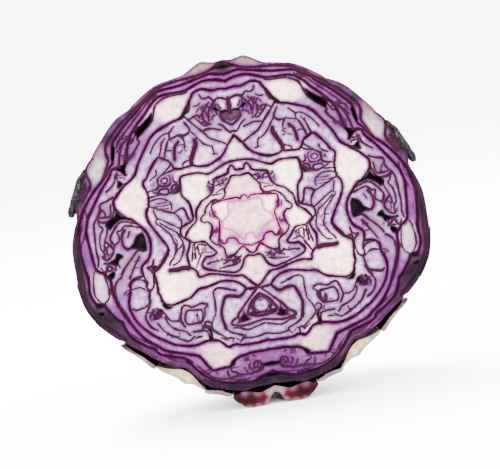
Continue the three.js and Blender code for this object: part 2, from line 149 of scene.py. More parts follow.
# leaf edges that run on their own: name, width in mm, how dark the line is, points
leafSeams = [
    ("topSkin", 0.8, 0.9, [
        (0, 70.8), (9.8, 67.1), (23, 65.7), (30.4, 64.1), (33.3, 62.6), (43, 55.8), (46.8, 52.7),
        (49.8, 50.6), (55.6, 44.9), (57.5, 42), (58, 39), (57.4, 35.8), (58.6, 33), (61.2, 27.8),
        (63, 25.5)]),
    ("rimStrip", 0.5, 0.6, [(31, 60.9), (34.4, 59.4), (38.4, 56), (49.6, 45.4), (52.4, 42)]),
    ("whiteRibTop", 0.6, 0.7, [
        (17.5, 60.5), (20.1, 59.8), (27.4, 59.4), (31.8, 57.3), (33.3, 55.2), (35.4, 49.9), (40.4, 45.5),
        (43, 43.2), (42.4, 41.4), (44.8, 38.4), (49.2, 33.4), (50.9, 32.2)]),
    ("outsideDark", 0.6, 0.8, [
        (76.9, 4), (78.2, -11), (77.6, -18), (77.8, -23), (76.6, -28), (70.8, -37.4), (63, -45.4)]),
    ("outsideDark2", 0.5, 0.8, [(78.9, -10), (79, -22), (77.8, -28), (75.6, -33), (72.2, -37.6)]),
    ("ribRight", 0.7, 0.8, [
        (64.5, 37.8), (67.4, 34.6), (68.3, 31.6), (67.1, 26.4), (68.9, 22.8), (71.8, 19.2)]),
    ("crumple", 0.6, 0.8, [(68.6, 31), (71, 28), (72.6, 25), (71.4, 21.4), (74.4, 19.6)]),
    ("crumple2", 0.5, 0.8, [(69.5, 26.6), (71.2, 24), (70.6, 21.6)]),
    ("ribLow", 0.4, 0.5, [(69.8, -10.8), (72.4, -14), (73.6, -22.4), (72.2, -26), (70.1, -28.2)]),
    ("ribLowInner", 0.4, 0.5, [(68, -14.3), (66.8, -22), (67.6, -26), (70.1, -28.2)]),
    ("keelTop", 0.5, 0.6, [(0, -73.2), (4, -74.4), (14, -75.6), (26, -72.4), (31, -69)]),
    ("bottomStrip", 0.5, 0.5, [(9.8, -70.1), (14.5, -69.9), (22.4, -70.6), (28.6, -67.7), (33, -62.7)]),
    ("bottomCurl", 0.6, 0.7, [
        (9.8, -70.1), (4.6, -68.8), (4.2, -66.6), (5.6, -64.9), (7.6, -65.6), (7.6, -67.4), (6, -67.8)]),
    ("foldDark", 0.9, 0.9, [(17, 56.5), (20.4, 51.4), (23, 48.8)]),
    ("nestOuter", 0.6, 0.8, [(45, 46.5), (50, 41.6), (51.6, 38.4), (53.4, 32)]),
    ("nestInner", 0.5, 0.7, [(43.6, 45.2), (45.4, 42.4), (48, 40.6), (50.6, 34)]),
    ("lobe", 0.6, 0.8, [(50.9, 27.8), (53.6, 30.8), (55.6, 31.1)]),
    ("lobeCrease", 0.5, 0.7, [(54.8, 29.3), (54.9, 26.1), (53.3, 24.3), (50.6, 24.3)]),
    ("lobeRight", 0.5, 0.7, [(55.6, 28.7), (56.2, 25.8), (58, 23.7), (60.6, 22)]),
    ("curlOuter", 0.6, 0.8, [
        (49.8, 5.7), (54.5, 7.2), (56.8, 7.2), (58.6, 6), (61.5, 2.5), (62.4, 0.4), (61.4, -2)]),
    ("curlInner", 0.5, 0.7, [
        (48.4, 3.6), (53.9, 5.4), (55.6, 5.1), (57.1, 3.6), (58.9, 3.2), (58.3, 1), (58.6, -1.1),
        (60.4, -2.2), (61.5, -3.4)]),
    ("curlBlob", 0.7, 0.9, [
        (55.4, 3.6), (56.8, 1.6), (57.4, -1.1), (57.1, -3.4), (55.6, -5.2), (53.6, -4.6), (51.8, -2.8),
        (50.6, -0.5), (48, 0.7)]),
    ("curlCrease", 0.4, 0.6, [(53.3, 2.5), (54.5, 0.1)]),
    ("tanStrip", 0.5, 0.7, [(48.3, -7.2), (51.2, -6.6), (54.5, -9.9), (58, -13.4), (59.8, -16)]),
    ("tanStrip2", 0.5, 0.7, [(50.9, -9.3), (54.8, -15.2), (56.6, -18.4)]),
    ("cupOuter", 0.6, 0.8, [(58.6, 16), (58.4, 13.6), (60.6, 9.2), (63, 8.4), (65.4, 8.8), (67.1, 10.4)]),
    ("cupInner", 0.5, 0.7, [(59.8, 15.7), (60.9, 10.7), (65.9, 10.7)]),
    ("rimInner", 0.6, 0.7, [
        (58.2, 18.9), (61.2, 17.6), (64.5, 16.6), (65.1, 13.1), (68.3, 8.9), (68.9, 5.4), (69.5, -3.4),
        (69.2, -7.8), (69.8, -10.8)]),
    ("stripLeft", 0.5, 0.6, [(63.3, 6.9), (63, 4.5), (65.1, -0.5), (65.6, -3.4)]),
    ("stripRight", 0.5, 0.6, [
        (66.8, 9.2), (66.2, 7.2), (65.1, 5.4), (66.8, 2.5), (67.4, -2.8), (66.2, -5.2), (65.9, -7.5)]),
    ("loops", 0.6, 0.8, [
        (64.5, -0.5), (62.7, -2.5), (61.8, -4.6), (62.7, -6.6), (64.5, -8.4), (66.2, -8.4), (67.1, -6.9)]),
    ("loopCrease", 0.4, 0.6, [(65.6, -1.6), (64.8, -4), (64.8, -6.1)]),
    ("teeth", 0.5, 0.6, [(61, -10.6), (63, -13.4), (65, -11.6), (66.8, -14), (68.6, -11.8)]),
    ("finger", 0.6, 0.7, [
        (44.8, -12), (45.4, -14.1), (46.8, -14.9), (48.3, -14.9), (46.5, -16.7), (45.9, -19.4),
        (46.2, -22.3), (47.1, -24.4), (48.6, -25.2), (49.8, -23.6), (49.2, -21.7), (50.1, -19.1),
        (50.6, -16)]),
    ("arch", 0.5, 0.6, [(49.5, -21.7), (50.9, -20.2), (53.3, -19.6), (55.6, -19.6)]),
    ("lowerOuter", 0.5, 0.6, [(60.4, -17.3), (62.4, -18.8), (63.9, -21.4), (63.6, -27.6), (59.6, -37.6)]),
    ("blobSide", 0.6, 0.7, [
        (49.8, -25.2), (48.9, -25.8), (49.8, -30.5), (50.9, -32), (55.6, -33.2), (57.4, -32.4)]),
    ("blobTop", 0.4, 0.5, [(49.8, -25.2), (52.1, -23.5), (53.9, -23.2), (57.1, -23.8)]),
    ("blobLower", 0.6, 0.7, [
        (48.9, -29.6), (49.8, -32), (52.4, -36.4), (52.1, -39.4), (50.6, -42), (48, -43.8)]),
    ("creaseLong", 0.5, 0.6, [
        (47.6, -40.7), (45.9, -43.6), (43.5, -46.2), (37.6, -49.8), (34.7, -50.8), (32.1, -49.2)]),
    ("curlA", 0.5, 0.6, [
        (43.8, -38.3), (43.2, -40.9), (41.2, -43.6), (38.8, -45.1), (35.9, -46.2), (33.8, -48.3)]),
    ("curlB", 0.5, 0.6, [(43.8, -36.6), (42.1, -39.8), (40, -40.8), (37.1, -40.9)]),
    ("smallLobe", 0.5, 0.7, [(25.6, -50.6), (25.6, -49.5), (26.8, -47.4), (32.4, -47.1)]),
    ("blobLeft", 0.6, 0.7, [
        (26.8, -40.1), (27.1, -37.7), (28.8, -37.6), (33.2, -37.1), (34.7, -38.9), (35, -41.2),
        (34.1, -43.3), (29.7, -43.3), (27.9, -43), (26.8, -40.1)]),
    ("blobLeftCrease", 0.4, 0.6, [(29.7, -39.5), (29.4, -42.7)]),
    ("ringAround", 0.6, 0.7, [
        (24.4, -35.6), (26.8, -34.8), (30.9, -35.8), (32.9, -34.8), (35.3, -34.9), (37.1, -40.1),
        (36.8, -42.1), (35.6, -44.2)]),
    ("ringAround2", 0.5, 0.6, [(24.1, -36.5), (25.6, -37.4), (25.9, -40.4), (27.9, -43)]),
    ("leftLines", 0.5, 0.6, [(20.8, -40), (23.2, -44.2), (23.5, -47.1), (20, -50.6)]),
    ("leftCurl", 0.4, 0.6, [(24, -44), (25.4, -43.2), (26.6, -44.4), (25.8, -46.2), (24.2, -46.6)]),
    ("bottomA", 0.6, 0.6, [
        (0, -52.9), (5.4, -53.9), (10.1, -53.3), (10.6, -52.1), (15.1, -50.2), (17.7, -48)]),
    ("bottomAFork", 0.4, 0.5, [(10.1, -53.3), (12.1, -54.9)]),
    ("bottomB", 0.5, 0.6, [(0, -48.1), (6.5, -49.9), (9.2, -49.6), (11.2, -48.7), (14, -48.2)]),
    ("bottomLoop", 0.5, 0.6, [
        (15.4, -54.5), (15.1, -52.9), (16.4, -52.4), (17.1, -52.7), (19.2, -51.2), (23.3, -48)]),
    ("bottomLoopCrease", 0.4, 0.5, [(17.4, -53.6), (20.4, -51.8)]),
    ("crossing", 0.7, 0.7, [
        (0, -31.2), (9.4, -40.6), (11.5, -43.5), (14, -45), (14.5, -46.5), (12, -47.5), (8, -47.8),
        (0, -46.4)]),
    ("pentagon", 0.7, 1, [
        (0, -34.7), (4.7, -38.6), (3.6, -42.3), (6.2, -43.2), (3.5, -44.2), (0, -44.6)]),
    ("pearl", 0.3, 0.8, [(0, -36.2), (2.4, -37.2), (3.4, -39.7), (2.4, -42.1), (0, -43.1)]),
    ("innerTriangle", 0.8, 0.8, [
        (0, -34.5), (3.9, -37.4), (6.6, -42), (5.6, -43.2), (2.6, -43.4), (0, -43)]),
    ("hookInner", 1, 0.9, [
        (5.6, -31.5), (8.9, -34.5), (12.7, -33.7), (15.6, -33.9), (16.8, -35.9), (18.3, -40), (18.4, -43),
        (17.5, -48)]),
    ("hookStrip", 0.5, 0.6, [
        (10.4, -31.5), (17.4, -29.2), (19.8, -29.8), (20.6, -31.2), (20.5, -34.8), (20.8, -40)]),
    ("zigOuter", 0.5, 0.6, [
        (38, -15.6), (37.1, -13.9), (35.6, -12.4), (33.6, -8), (34.5, -5.1), (35.4, -1.8), (39.2, 2.6),
        (40.9, 4.4), (40.1, 5.9), (37.7, 5), (30.4, 0)]),
    ("zigInner", 0.5, 0.6, [
        (36.2, -15.6), (33.9, -14.8), (32.1, -12.7), (30.1, -7.7), (32.1, -1.8), (34.5, 0.2), (39.6, 4.3)]),
    ("maroonBand", 1.6, 1, [(29.5, -18.2), (32, -17.7), (35, -18), (38, -17.9)]),
    ("maroonBand2", 1.1, 0.9, [(38.2, -10.2), (41.8, -14.7), (45, -17)]),
    ("fanA", 0.4, 0.5, [(25.4, -7.4), (25.6, -10.6), (25.9, -14.2)]),
    ("fanB", 0.4, 0.5, [(26.2, -7.7), (26.8, -11.2), (27.7, -15.1)]),
    ("nestTail", 0.4, 0.6, [(40.1, 5.9), (40.6, 7.6), (41.2, 10.3)]),
    ("nestLine", 0.5, 0.7, [(43, 12.4), (34.8, 8.5), (32.1, 7.5)]),
    ("nestSquare", 0.5, 0.7, [
        (32.1, 7.5), (29.8, 8.8), (27.9, 9.1), (27.1, 7.6), (26.2, 4.1), (25.4, 3)]),
    ("nestSquare2", 0.5, 0.6, [(32.1, 7.5), (30.4, 5.3), (29.5, 2.6), (30.4, 0)]),
    ("nestFold", 0.5, 0.6, [(33, 9.4), (32.9, 12.4), (36.2, 14.7), (39.2, 15), (42.6, 14.2)]),
    ("nestHook", 0.5, 0.7, [
        (43, 18.8), (39.8, 19.1), (37.4, 20), (36.8, 23.5), (34.8, 25.3), (29.8, 26.8), (29.2, 28.2)]),
    ("nestMid", 0.5, 0.7, [(27.7, 19.7), (29.2, 18.2), (34.2, 16.3), (39.8, 18.1)]),
    ("nestMid2", 0.4, 0.6, [(36.8, 17.1), (38, 16.5), (43, 16.2)]),
    ("nestUp", 0.5, 0.6, [(30.4, 30.6), (30.6, 28.8), (34.2, 25.9), (35.6, 24.6)]),
    ("nestUp2", 0.4, 0.6, [(37.1, 27.6), (37.4, 25.6), (40.4, 23.8)]),
    ("vLine", 0.5, 0.7, [(32.4, 40), (33.3, 37.1), (34.8, 33.2)]),
    ("vLine2", 0.5, 0.7, [(29.8, 39.4), (31.2, 36.5), (32.3, 32.9)]),
    ("thickPurple", 1, 0.9, [(25.1, 38.8), (27.1, 36.5), (28, 31.2)]),
    ("tipLine", 0.5, 0.6, [(25.9, 46.1), (28.6, 43.5), (31.8, 42.9), (36.2, 39.1), (38.3, 35.8)]),
    ("tipLine2", 0.5, 0.6, [(28.6, 43.5), (28.9, 40.8), (30.4, 38.8), (31.8, 35)]),
    ("tipLine3", 0.5, 0.6, [(24.2, 41.7), (26.8, 41.1), (28.9, 40.5)]),
    ("tipLine4", 0.5, 0.6, [(24.2, 41.7), (23, 40.2), (22.4, 38.2), (22.7, 35.8)]),
    ("tipCrease", 0.4, 0.5, [(30.9, 41.4), (32.7, 38.8), (34.2, 35)]),
    ("maroonEdge", 1.5, 1, [(20.8, 28), (20.6, 30.3), (17.7, 36.2), (17.6, 38.2)]),
    ("pinkFlap", 0.5, 0.6, [(24.2, 27.1), (24.8, 28.5), (21.2, 30.3)]),
    ("starArm", 0.5, 0.7, [(3.4, 33.8), (5.4, 35.3), (10.9, 38.2), (12.1, 39.6), (21, 50)]),
    ("iCrease", 0.5, 0.6, [(16.8, 39.9), (14.5, 36.8), (12.1, 35), (10.6, 34.4), (9.8, 31.2)]),
    ("iFoot", 0.4, 0.6, [(8.6, 30.7), (10.6, 31)]),
    ("loopLeft", 0.5, 0.6, [(21.2, 47.3), (19.5, 44.6), (19.2, 42.9), (21.2, 41.4), (24.2, 41.7)]),
    ("loopLeft2", 0.4, 0.6, [(18.6, 42.3), (16.8, 39.9), (17.6, 38.2)]),
    ("heartTop", 0.6, 0.8, [(0, 53.5), (1.5, 54.6), (5.1, 55.1), (9.5, 50), (9.6, 47.9)]),
    ("heartWing", 0.5, 0.7, [
        (12.4, 58.2), (11.5, 56.4), (9.8, 56.1), (8.3, 56.4), (7.1, 55.2), (5.9, 54.5)]),
    ("heartY", 0.5, 0.7, [(8.9, 54), (13, 49.1), (15.6, 49.2), (18.9, 47.6)]),
    ("heartY2", 0.5, 0.7, [(13, 49.1), (12.7, 47.6), (11.2, 45.2), (9.6, 44.4)]),
    ("heartCrease", 0.4, 0.6, [(12.7, 54.4), (13.9, 53.5), (15.9, 53.5)]),
    ("heartSide", 0.5, 0.6, [(16.8, 49.1), (12.7, 44.6), (10.9, 44.1)]),
    ("heartEdge", 0.6, 0.9, [(0, 48.5), (1.5, 49.3), (4, 48.5), (4.5, 46.5), (3, 44.5), (0, 42.5)]),
    ("heartUnder", 0.5, 0.7, [(0, 39.7), (1.8, 39.7), (4.2, 42.7), (5.8, 43.8)]),
    ("heartUnder2", 0.5, 0.7, [(5.1, 41), (9.8, 42.3), (13, 42)]),
    ("axisTop", 0.9, 1, [(0, 54.6), (0.5, 51.5), (0, 48.5)]),
    ("innerFold", 0.4, 0.5, [(20.4, -9.3), (23.9, -8.3), (23.9, -12.7)]),
    ("innerFold2", 0.4, 0.5, [(18.3, -12.7), (22.4, -12.1), (23.6, -13.9), (26.5, -18.9)]),
    ("innerCrease", 0.4, 0.4, [(13.9, -16.2), (15.4, -17.1), (18.6, -17.1), (20.9, -17.6)]),
    ("pileA", 0.4, 0.5, [(5.4, -16.4), (8, -17.6), (11, -17.8), (14, -18.8)]),
    ("pileB", 0.4, 0.5, [(6.4, -19), (9, -20), (16, -20.4)]),
    ("foldUp", 0.4, 0.5, [(8.6, 15), (12.1, 13.5)]),
    ("foldUp2", 0.4, 0.5, [(9.8, 12.8), (13.9, 12.6)]),
    ("pileC", 0.4, 0.5, [(6.2, 19), (8.4, 17.4), (11.6, 16.8)]),
]

# the vessels in the core's own flesh
coreVein = [
    (0, 7.7), (2.4, 8.3), (7.4, 8), (7.8, 4.1), (8.8, 2.1), (10.9, 0.5), (11.4, -2.2), (9.4, -3.6),
    (7, -4.7), (3.4, -9), (2, -9), (1.8, -7.4), (0, -6.6)]

# hollows between the leaves, cut deep and painted near black as shade, and wine-dark folds: name, depth in
# mm, outline
hollows = [
    ("large", 9, [
        (34.5, 54), (35.5, 50.3), (38, 47.4), (41, 45.2), (43, 43.4), (43.6, 45.5), (44.6, 46.5),
        (42.6, 48.4), (41, 48.8), (37, 52)]),
    ("rim", 6, [(53.6, 41.4), (55, 41), (56.3, 36), (55.2, 35.6), (54, 38)]),
    ("triangle", 6, [(49.6, 33), (53, 31.8), (54.4, 31.1), (52.7, 29.7), (51, 28.2), (50.4, 30.5)]),
    ("foldPocket", 4, [(53.2, 25.4), (54.4, 25.8), (55.6, 24.4), (56, 22.4), (54.2, 22.4), (52.8, 23.6)]),
    ("side", 8, [
        (58.2, 13.9), (57.4, 12.2), (55.4, 9.8), (51, 7), (54, 7.7), (57, 7.8), (60, 6), (62, 4.2),
        (63.3, 7.6), (61.3, 8.6), (59.3, 10.2), (58.3, 12)]),
    ("curl", 5, [
        (47.2, 0.4), (50.3, -0.2), (52, -3), (53.8, -4.9), (52, -6), (49.5, -6.5), (47, -7.5), (46.4, -3)]),
    ("below", 6, [
        (60.5, -6), (62, -8.2), (65, -9.6), (67.2, -9.4), (67.4, -10.8), (64, -10.8), (61.5, -11.6),
        (60, -10), (57.6, -8)]),
    ("teeth", 7, [(62.5, -14.6), (64.6, -14.2), (66.2, -15.6), (65.4, -17.6), (63.4, -17.2)]),
    ("rib", 6, [(39.4, -34.1), (41, -33.9), (43.5, -32.2), (44.5, -33), (43, -35.2), (40.4, -35.2)]),
    ("leftGap", 6, [(23.8, -51.2), (23.7, -47.6), (25.3, -47.3), (25.2, -50), (26, -51.6), (25, -52.2)]),
    ("pocket", 3, [(28.2, -49.5), (30.3, -49), (32.6, -50.4), (29.4, -50.4)]),
    ("axisLow", 5, [(0, -65.8), (2.2, -66.1), (4, -66.6), (3, -67.8), (0, -68)]),
    ("axisLow2", 5, [(0, -70.9), (2.2, -71.5), (3.6, -72.2), (2, -72.8), (0, -72.6)]),
    ("axisTop", 4, [(0, 70), (2.6, 69.4), (4.8, 68.6), (2.6, 68.3), (0, 68)]),
    ("smallLow", 4, [(15.7, -62.6), (17, -63.4), (17.7, -65.2), (16.2, -65.2)]),
    ("ribGap", 5, [(70.2, -28.5), (73.2, -28.1), (73.4, -29.4), (70.4, -29.6)]),
    ("ribGap2", 5, [(70.8, -31.8), (73.2, -31.6), (73, -32.8), (70.8, -33)]),
    ("wine", 2.5, [
        (17.2, 56), (19.3, 53.1), (22.4, 49.2), (21.6, 48.2), (19.8, 50.2), (18, 50.9), (16.9, 53.4)]),
    ("wineEye", 0.8, [(0, -36.7), (0.8, -37.2), (0.8, -38), (0, -38.5)]),
    ("wineCorner", 1.5, [(3.4, -42.4), (6.2, -43.2), (3.6, -44), (1.6, -43.3)]),
    ("wineWedge", 2.5, [
        (8.3, -39.5), (9.4, -43), (12.5, -46.7), (8.5, -46.2), (5.2, -45.6), (7.4, -43.6)]),
    ("nestGap", 4, [
        (1, 48.9), (3.4, 49.6), (6, 51.4), (7.8, 51.6), (7.6, 50.4), (5.6, 49.6), (3.8, 48.7)]),
    ("wineHeart", 1.5, [(0, 48), (1.5, 48.8), (3.6, 48), (4, 46.5), (2.7, 45), (0, 43.4)]),
    ("nest", 4, [(27.7, 18.8), (28.4, 16), (32.2, 15.9), (30, 17.3)]),
    ("wineBrown", 3, [
        (44.2, -34.7), (46, -33.9), (48.3, -33.9), (50.4, -35.8), (51.2, -38), (50.2, -39.8),
        (47.5, -38.3), (43.9, -36.5)]),
]


def smoothLine(points, closed=False, steps=4):      # Catmull-Rom through the points
    p = np.array(points, float)
    before = p[-1:] if closed else 2 * p[:1] - p[1:2]
    after = p[:2] if closed else np.vstack([2 * p[-1:] - p[-2:-1], p[-1:]])
    q = np.vstack([before, p, after])
    count = len(p) if closed else len(p) - 1
    out = []
    for k in range(count):
        a, b, c, d = q[k:k + 4]
        for t in np.arange(steps) / steps:
            out.append(0.5 * (2 * b + (c - a) * t + (2 * a - 5 * b + 4 * c - d) * t * t
                              + (3 * b - a - 3 * c + d) * t ** 3))
    if not closed:
        out.append(p[-1])
    return np.array(out)


def mirrored(points):                               # a right half closed with its mirror image
    half = np.array(points, float)
    other = half[::-1] * [-1, 1]
    if half[-1][0] == 0:
        other = other[1:]
    if half[0][0] == 0:
        other = other[:-1]
    return np.vstack([half, other])


def lineDistance(line, farthest=7.0, reach=7.0):    # mm from each point of the cut face to a line
    best = np.full(meshX.shape, farthest)
    for a, b in zip(line[:-1], line[1:]):
        low = np.minimum(a, b) - reach
        high = np.maximum(a, b) + reach
        i0, i1 = np.searchsorted(gridX, [low[0], high[0]])
        j0, j1 = np.searchsorted(gridZ, [low[1], high[1]])
        if i0 == i1 or j0 == j1:
            continue
        gx, gz = meshX[i0:i1, j0:j1], meshZ[i0:i1, j0:j1]
        d = b - a
        t = ((gx - a[0]) * d[0] + (gz - a[1]) * d[1]) / max(d @ d, 1e-9)
        t = np.clip(t, 0, 1)
        far = np.hypot(gx - a[0] - t * d[0], gz - a[1] - t * d[1])
        best[i0:i1, j0:j1] = np.minimum(best[i0:i1, j0:j1], far)
    return best


def ringDistance(outline, **limits):                # the same for a closed outline
    return lineDistance(np.vstack([outline, outline[:1]]), **limits)


def inside(gx, gz, outline):                        # even-odd test for points against an outline
    result = np.zeros(gx.shape, bool)
    for a, b in zip(outline, np.roll(outline, -1, axis=0)):
        if a[1] == b[1]:
            continue
        crosses = (a[1] > gz) != (b[1] > gz)
        result ^= crosses & (gx < (b[0] - a[0]) * (gz - a[1]) / (b[1] - a[1]) + a[0])
    return result


def ramp(value, low, high):                         # smooth step
    t = np.clip((value - low) / (high - low), 0, 1)
    return t * t * (3 - 2 * t)


def softNoise(x, z, size, seed):                    # smooth value noise, size in mm
    table = np.random.default_rng(seed).random((64, 64))
    fx, fz = x / size + 31.7, z / size + 17.3
    ix, iz = np.floor(fx).astype(int), np.floor(fz).astype(int)
    tx, tz = fx - ix, fz - iz
    tx, tz = tx * tx * (3 - 2 * tx), tz * tz * (3 - 2 * tz)
    v = [[table[(ix + a) % 64, (iz + b) % 64] for b in (0, 1)] for a in (0, 1)]
    return (v[0][0] * (1 - tx) + v[1][0] * tx) * (1 - tz) + (v[0][1] * (1 - tx) + v[1][1] * tx) * tz


def inStudio(colour):                               # deeper, to look itself in the bright light
    return colour ** 1.5 * (0.26 + 0.74 * colour ** 8)


def layTints(total, weights, tints, floor=0.0):     # adds soft round patches: x, z, radius, colour
    for x, z, radius, colour in tints:
        weight = np.exp(-((meshX - x) ** 2 + (meshZ - z) ** 2) / radius ** 2) + floor
        total = total + weight[..., None] * linear(colour)
        weights = weights + weight
    return inStudio(total / weights[..., None])


outlines = {name: smoothLine(points) for name, points in ringLines.items()}
headLine = smoothLine(headEdge)

pitch = head["grid"]
gridX = np.arange(0, head["gridWidth"], pitch)
gridZ = np.arange(*head["gridHeight"], pitch)
meshX, meshZ = np.meshgrid(gridX, gridZ, indexing="ij")

# where the knife went through a leaf's skin: mm to the nearest such edge, and how dark it is
seamGap = np.full(meshX.shape, 7.0)
seamDark = np.zeros(meshX.shape)
edgeLook = {
    "widthShare": 0.4,      # half a line's width, less its soft side
    "bleed": 0.08,          # mm, juice drawn out of the skin
    # width in mm and darkness of each ring's edge
    "rings": {
        "core": (0.3, 0.8), "heart_leaf": (0.4, 0.8), "star_leaf": (0.4, 0.9),
        "inner_leaf": (0.4, 0.95), "folded_leaf": (0.45, 0.95), "ring_leaf": (0.5, 1.0),
        "rim_inside": (0.7, 1.0), "rim_leaf": (0.7, 1.0)},
}


def addEdge(gap, dark, where=True):                 # takes over wherever it is the nearest edge
    closer = (gap < seamGap) & where
    seamGap[closer] = gap[closer]
    seamDark[closer] = dark


allLines = [(*edgeLook["rings"][name], line) for name, line in outlines.items()]
allLines += [(wide, dark, smoothLine(points)) for _, wide, dark, points in leafSeams]
for wide, dark, line in allLines:
    addEdge(lineDistance(line) - wide * edgeLook["widthShare"] - edgeLook["bleed"], dark)
veinGap = lineDistance(smoothLine(coreVein))

hollowLook = {
    "wall": (-0.3, 1.6),    # mm in from the outline, from the face down to the full depth
    "shade": (-0.6, 0.6), "wineShade": (-0.5, 0.5),     # mm, where the painted shade of a hollow and the dark of a wine fold come in
    "pale": {"wineBrown": 0.55},    # a fold that is less dark than the rest
    "across": -2.0,         # mm, points on the mirror plane go across it so that the halves join
}
# painted shade, near black, fills each hollow that isn't a wine fold
hollowDepth, hollowPaintedShade, wineShade = np.zeros((3, *meshX.shape))
for name, deep, points in hollows:
    line = smoothLine([(x if x > 0 else hollowLook["across"], z) for x, z in points], closed=True)
    signed = ringDistance(line) * np.where(inside(meshX, meshZ, line), 1, -1)
    hollowDepth = np.maximum(hollowDepth, deep * ramp(signed, *hollowLook["wall"]))
    if name.startswith("wine"):
        strength = hollowLook["pale"].get(name, 1.0)
        wineShade = np.maximum(wineShade, strength * ramp(signed, *hollowLook["wineShade"]))
    else:
        hollowPaintedShade = np.maximum(hollowPaintedShade, ramp(signed, *hollowLook["shade"]))
print("leaf edges", len(allLines), "hollows", len(hollows))

# small leaves packed into folds: middle, half width, half height, size of a fold in mm, how dark
crumples = [
    (48.5, 40, 6, 7, 5, 0.9), (42, 46.5, 3, 2.6, 3.4, 0.8), (34, 21, 7.5, 5.5, 5.5, 0.85),
    (37, 11.5, 5, 2.8, 4.6, 0.7), (10.6, 49.5, 5.5, 5, 4.2, 1), (5.8, 50.5, 3, 3.6, 3.4, 1),
    (24, 35.5, 3.5, 3.2, 4.2, 0.7), (29.5, 37.5, 3.6, 3.6, 5, 0.6), (9.2, 18, 4.2, 2.6, 3.6, 0.85),
    (14, 16.5, 2.2, 4, 3.2, 0.8), (15.6, -2.6, 1.8, 3.6, 2.6, 1), (14.2, -8.6, 3, 1.8, 2.6, 1),
    (15, 4.4, 2, 2.6, 2.6, 1), (10, -17.8, 5.6, 2.6, 3.4, 0.9), (19.4, -17.2, 4.6, 2.6, 3.6, 0.8),
    (22.8, -10.5, 3.6, 2.6, 3.8, 0.7), (72, 24.5, 3.6, 6.5, 3.2, 1), (62.2, 13.5, 3.2, 3.4, 5, 0.7),
    (64, -12.4, 5, 2.4, 3.4, 1), (64.6, -4, 3.2, 4.6, 4.4, 0.7), (69, -36.5, 3.4, 4.2, 3.6, 0.9),
    (47.6, -36.2, 4.6, 3.4, 3.8, 0.9), (58.6, -24.6, 2.8, 2.2, 3.6, 0.8), (9, -44.4, 3.2, 2.4, 3.4, 1),
    (7, -67, 5, 2.6, 3.6, 1), (16, -68.4, 7, 3, 4.2, 0.9), (27, -66.6, 4.2, 3, 4.2, 0.8),
    (10, -62.8, 5, 1.6, 4.2, 0.7), (18, -73.6, 13, 2.2, 4.6, 0.9), (26, -45.5, 3, 3.4, 3.8, 0.8),
    (40.6, -46.4, 5, 2.6, 5, 0.6), (52.6, 28.2, 3.4, 3.6, 4.4, 0.7), (29.6, -40.6, 4.4, 3.6, 6, 0.4),
    (36.5, -47.6, 6, 2, 4.4, 0.5), (13, -52.6, 8, 2, 5.2, 0.5), (52, -13.4, 2.6, 4.6, 4.4, 0.6),
    (33, -4, 4.6, 7, 5.6, 0.4)]
foldLook = {
    "stray": 1.4,           # mm a fold strays from its course
    "edges": 3.6,           # leaf edges between a noise's low and high
    "steepest": 0.10,       # keeps flat places from filling with edge
    "width": 0.12,          # mm
    "fadeOut": (0.72, 1.05),    # share of a patch's size over which the folds run out
    "rosy": (12.5, 17.5),   # mm from the middle, over which the edges turn from pink to plum
}
# level lines of a soft noise read as packed leaf edges
for number, (x, z, wide, high, size, dark) in enumerate(crumples):
    place = np.hypot((meshX - x) / wide, (meshZ - z) / high)
    waveX = meshX + foldLook["stray"] * softNoise(meshX, meshZ, size * 0.8, number + 60)
    height = softNoise(waveX, meshZ * 1.15, size, number + 20) * foldLook["edges"]
    steepX, steepZ = np.gradient(height, pitch)
    steep = np.maximum(np.hypot(steepX, steepZ), foldLook["steepest"])
    level = np.abs(height - np.round(height)) / steep
    addEdge(level - foldLook["width"] + 1.6 * ramp(place, *foldLook["fadeOut"]), dark)
rosy = 1 - ramp(np.hypot(meshX * 0.9, meshZ * 1.05), *foldLook["rosy"])
print("folds", len(crumples))

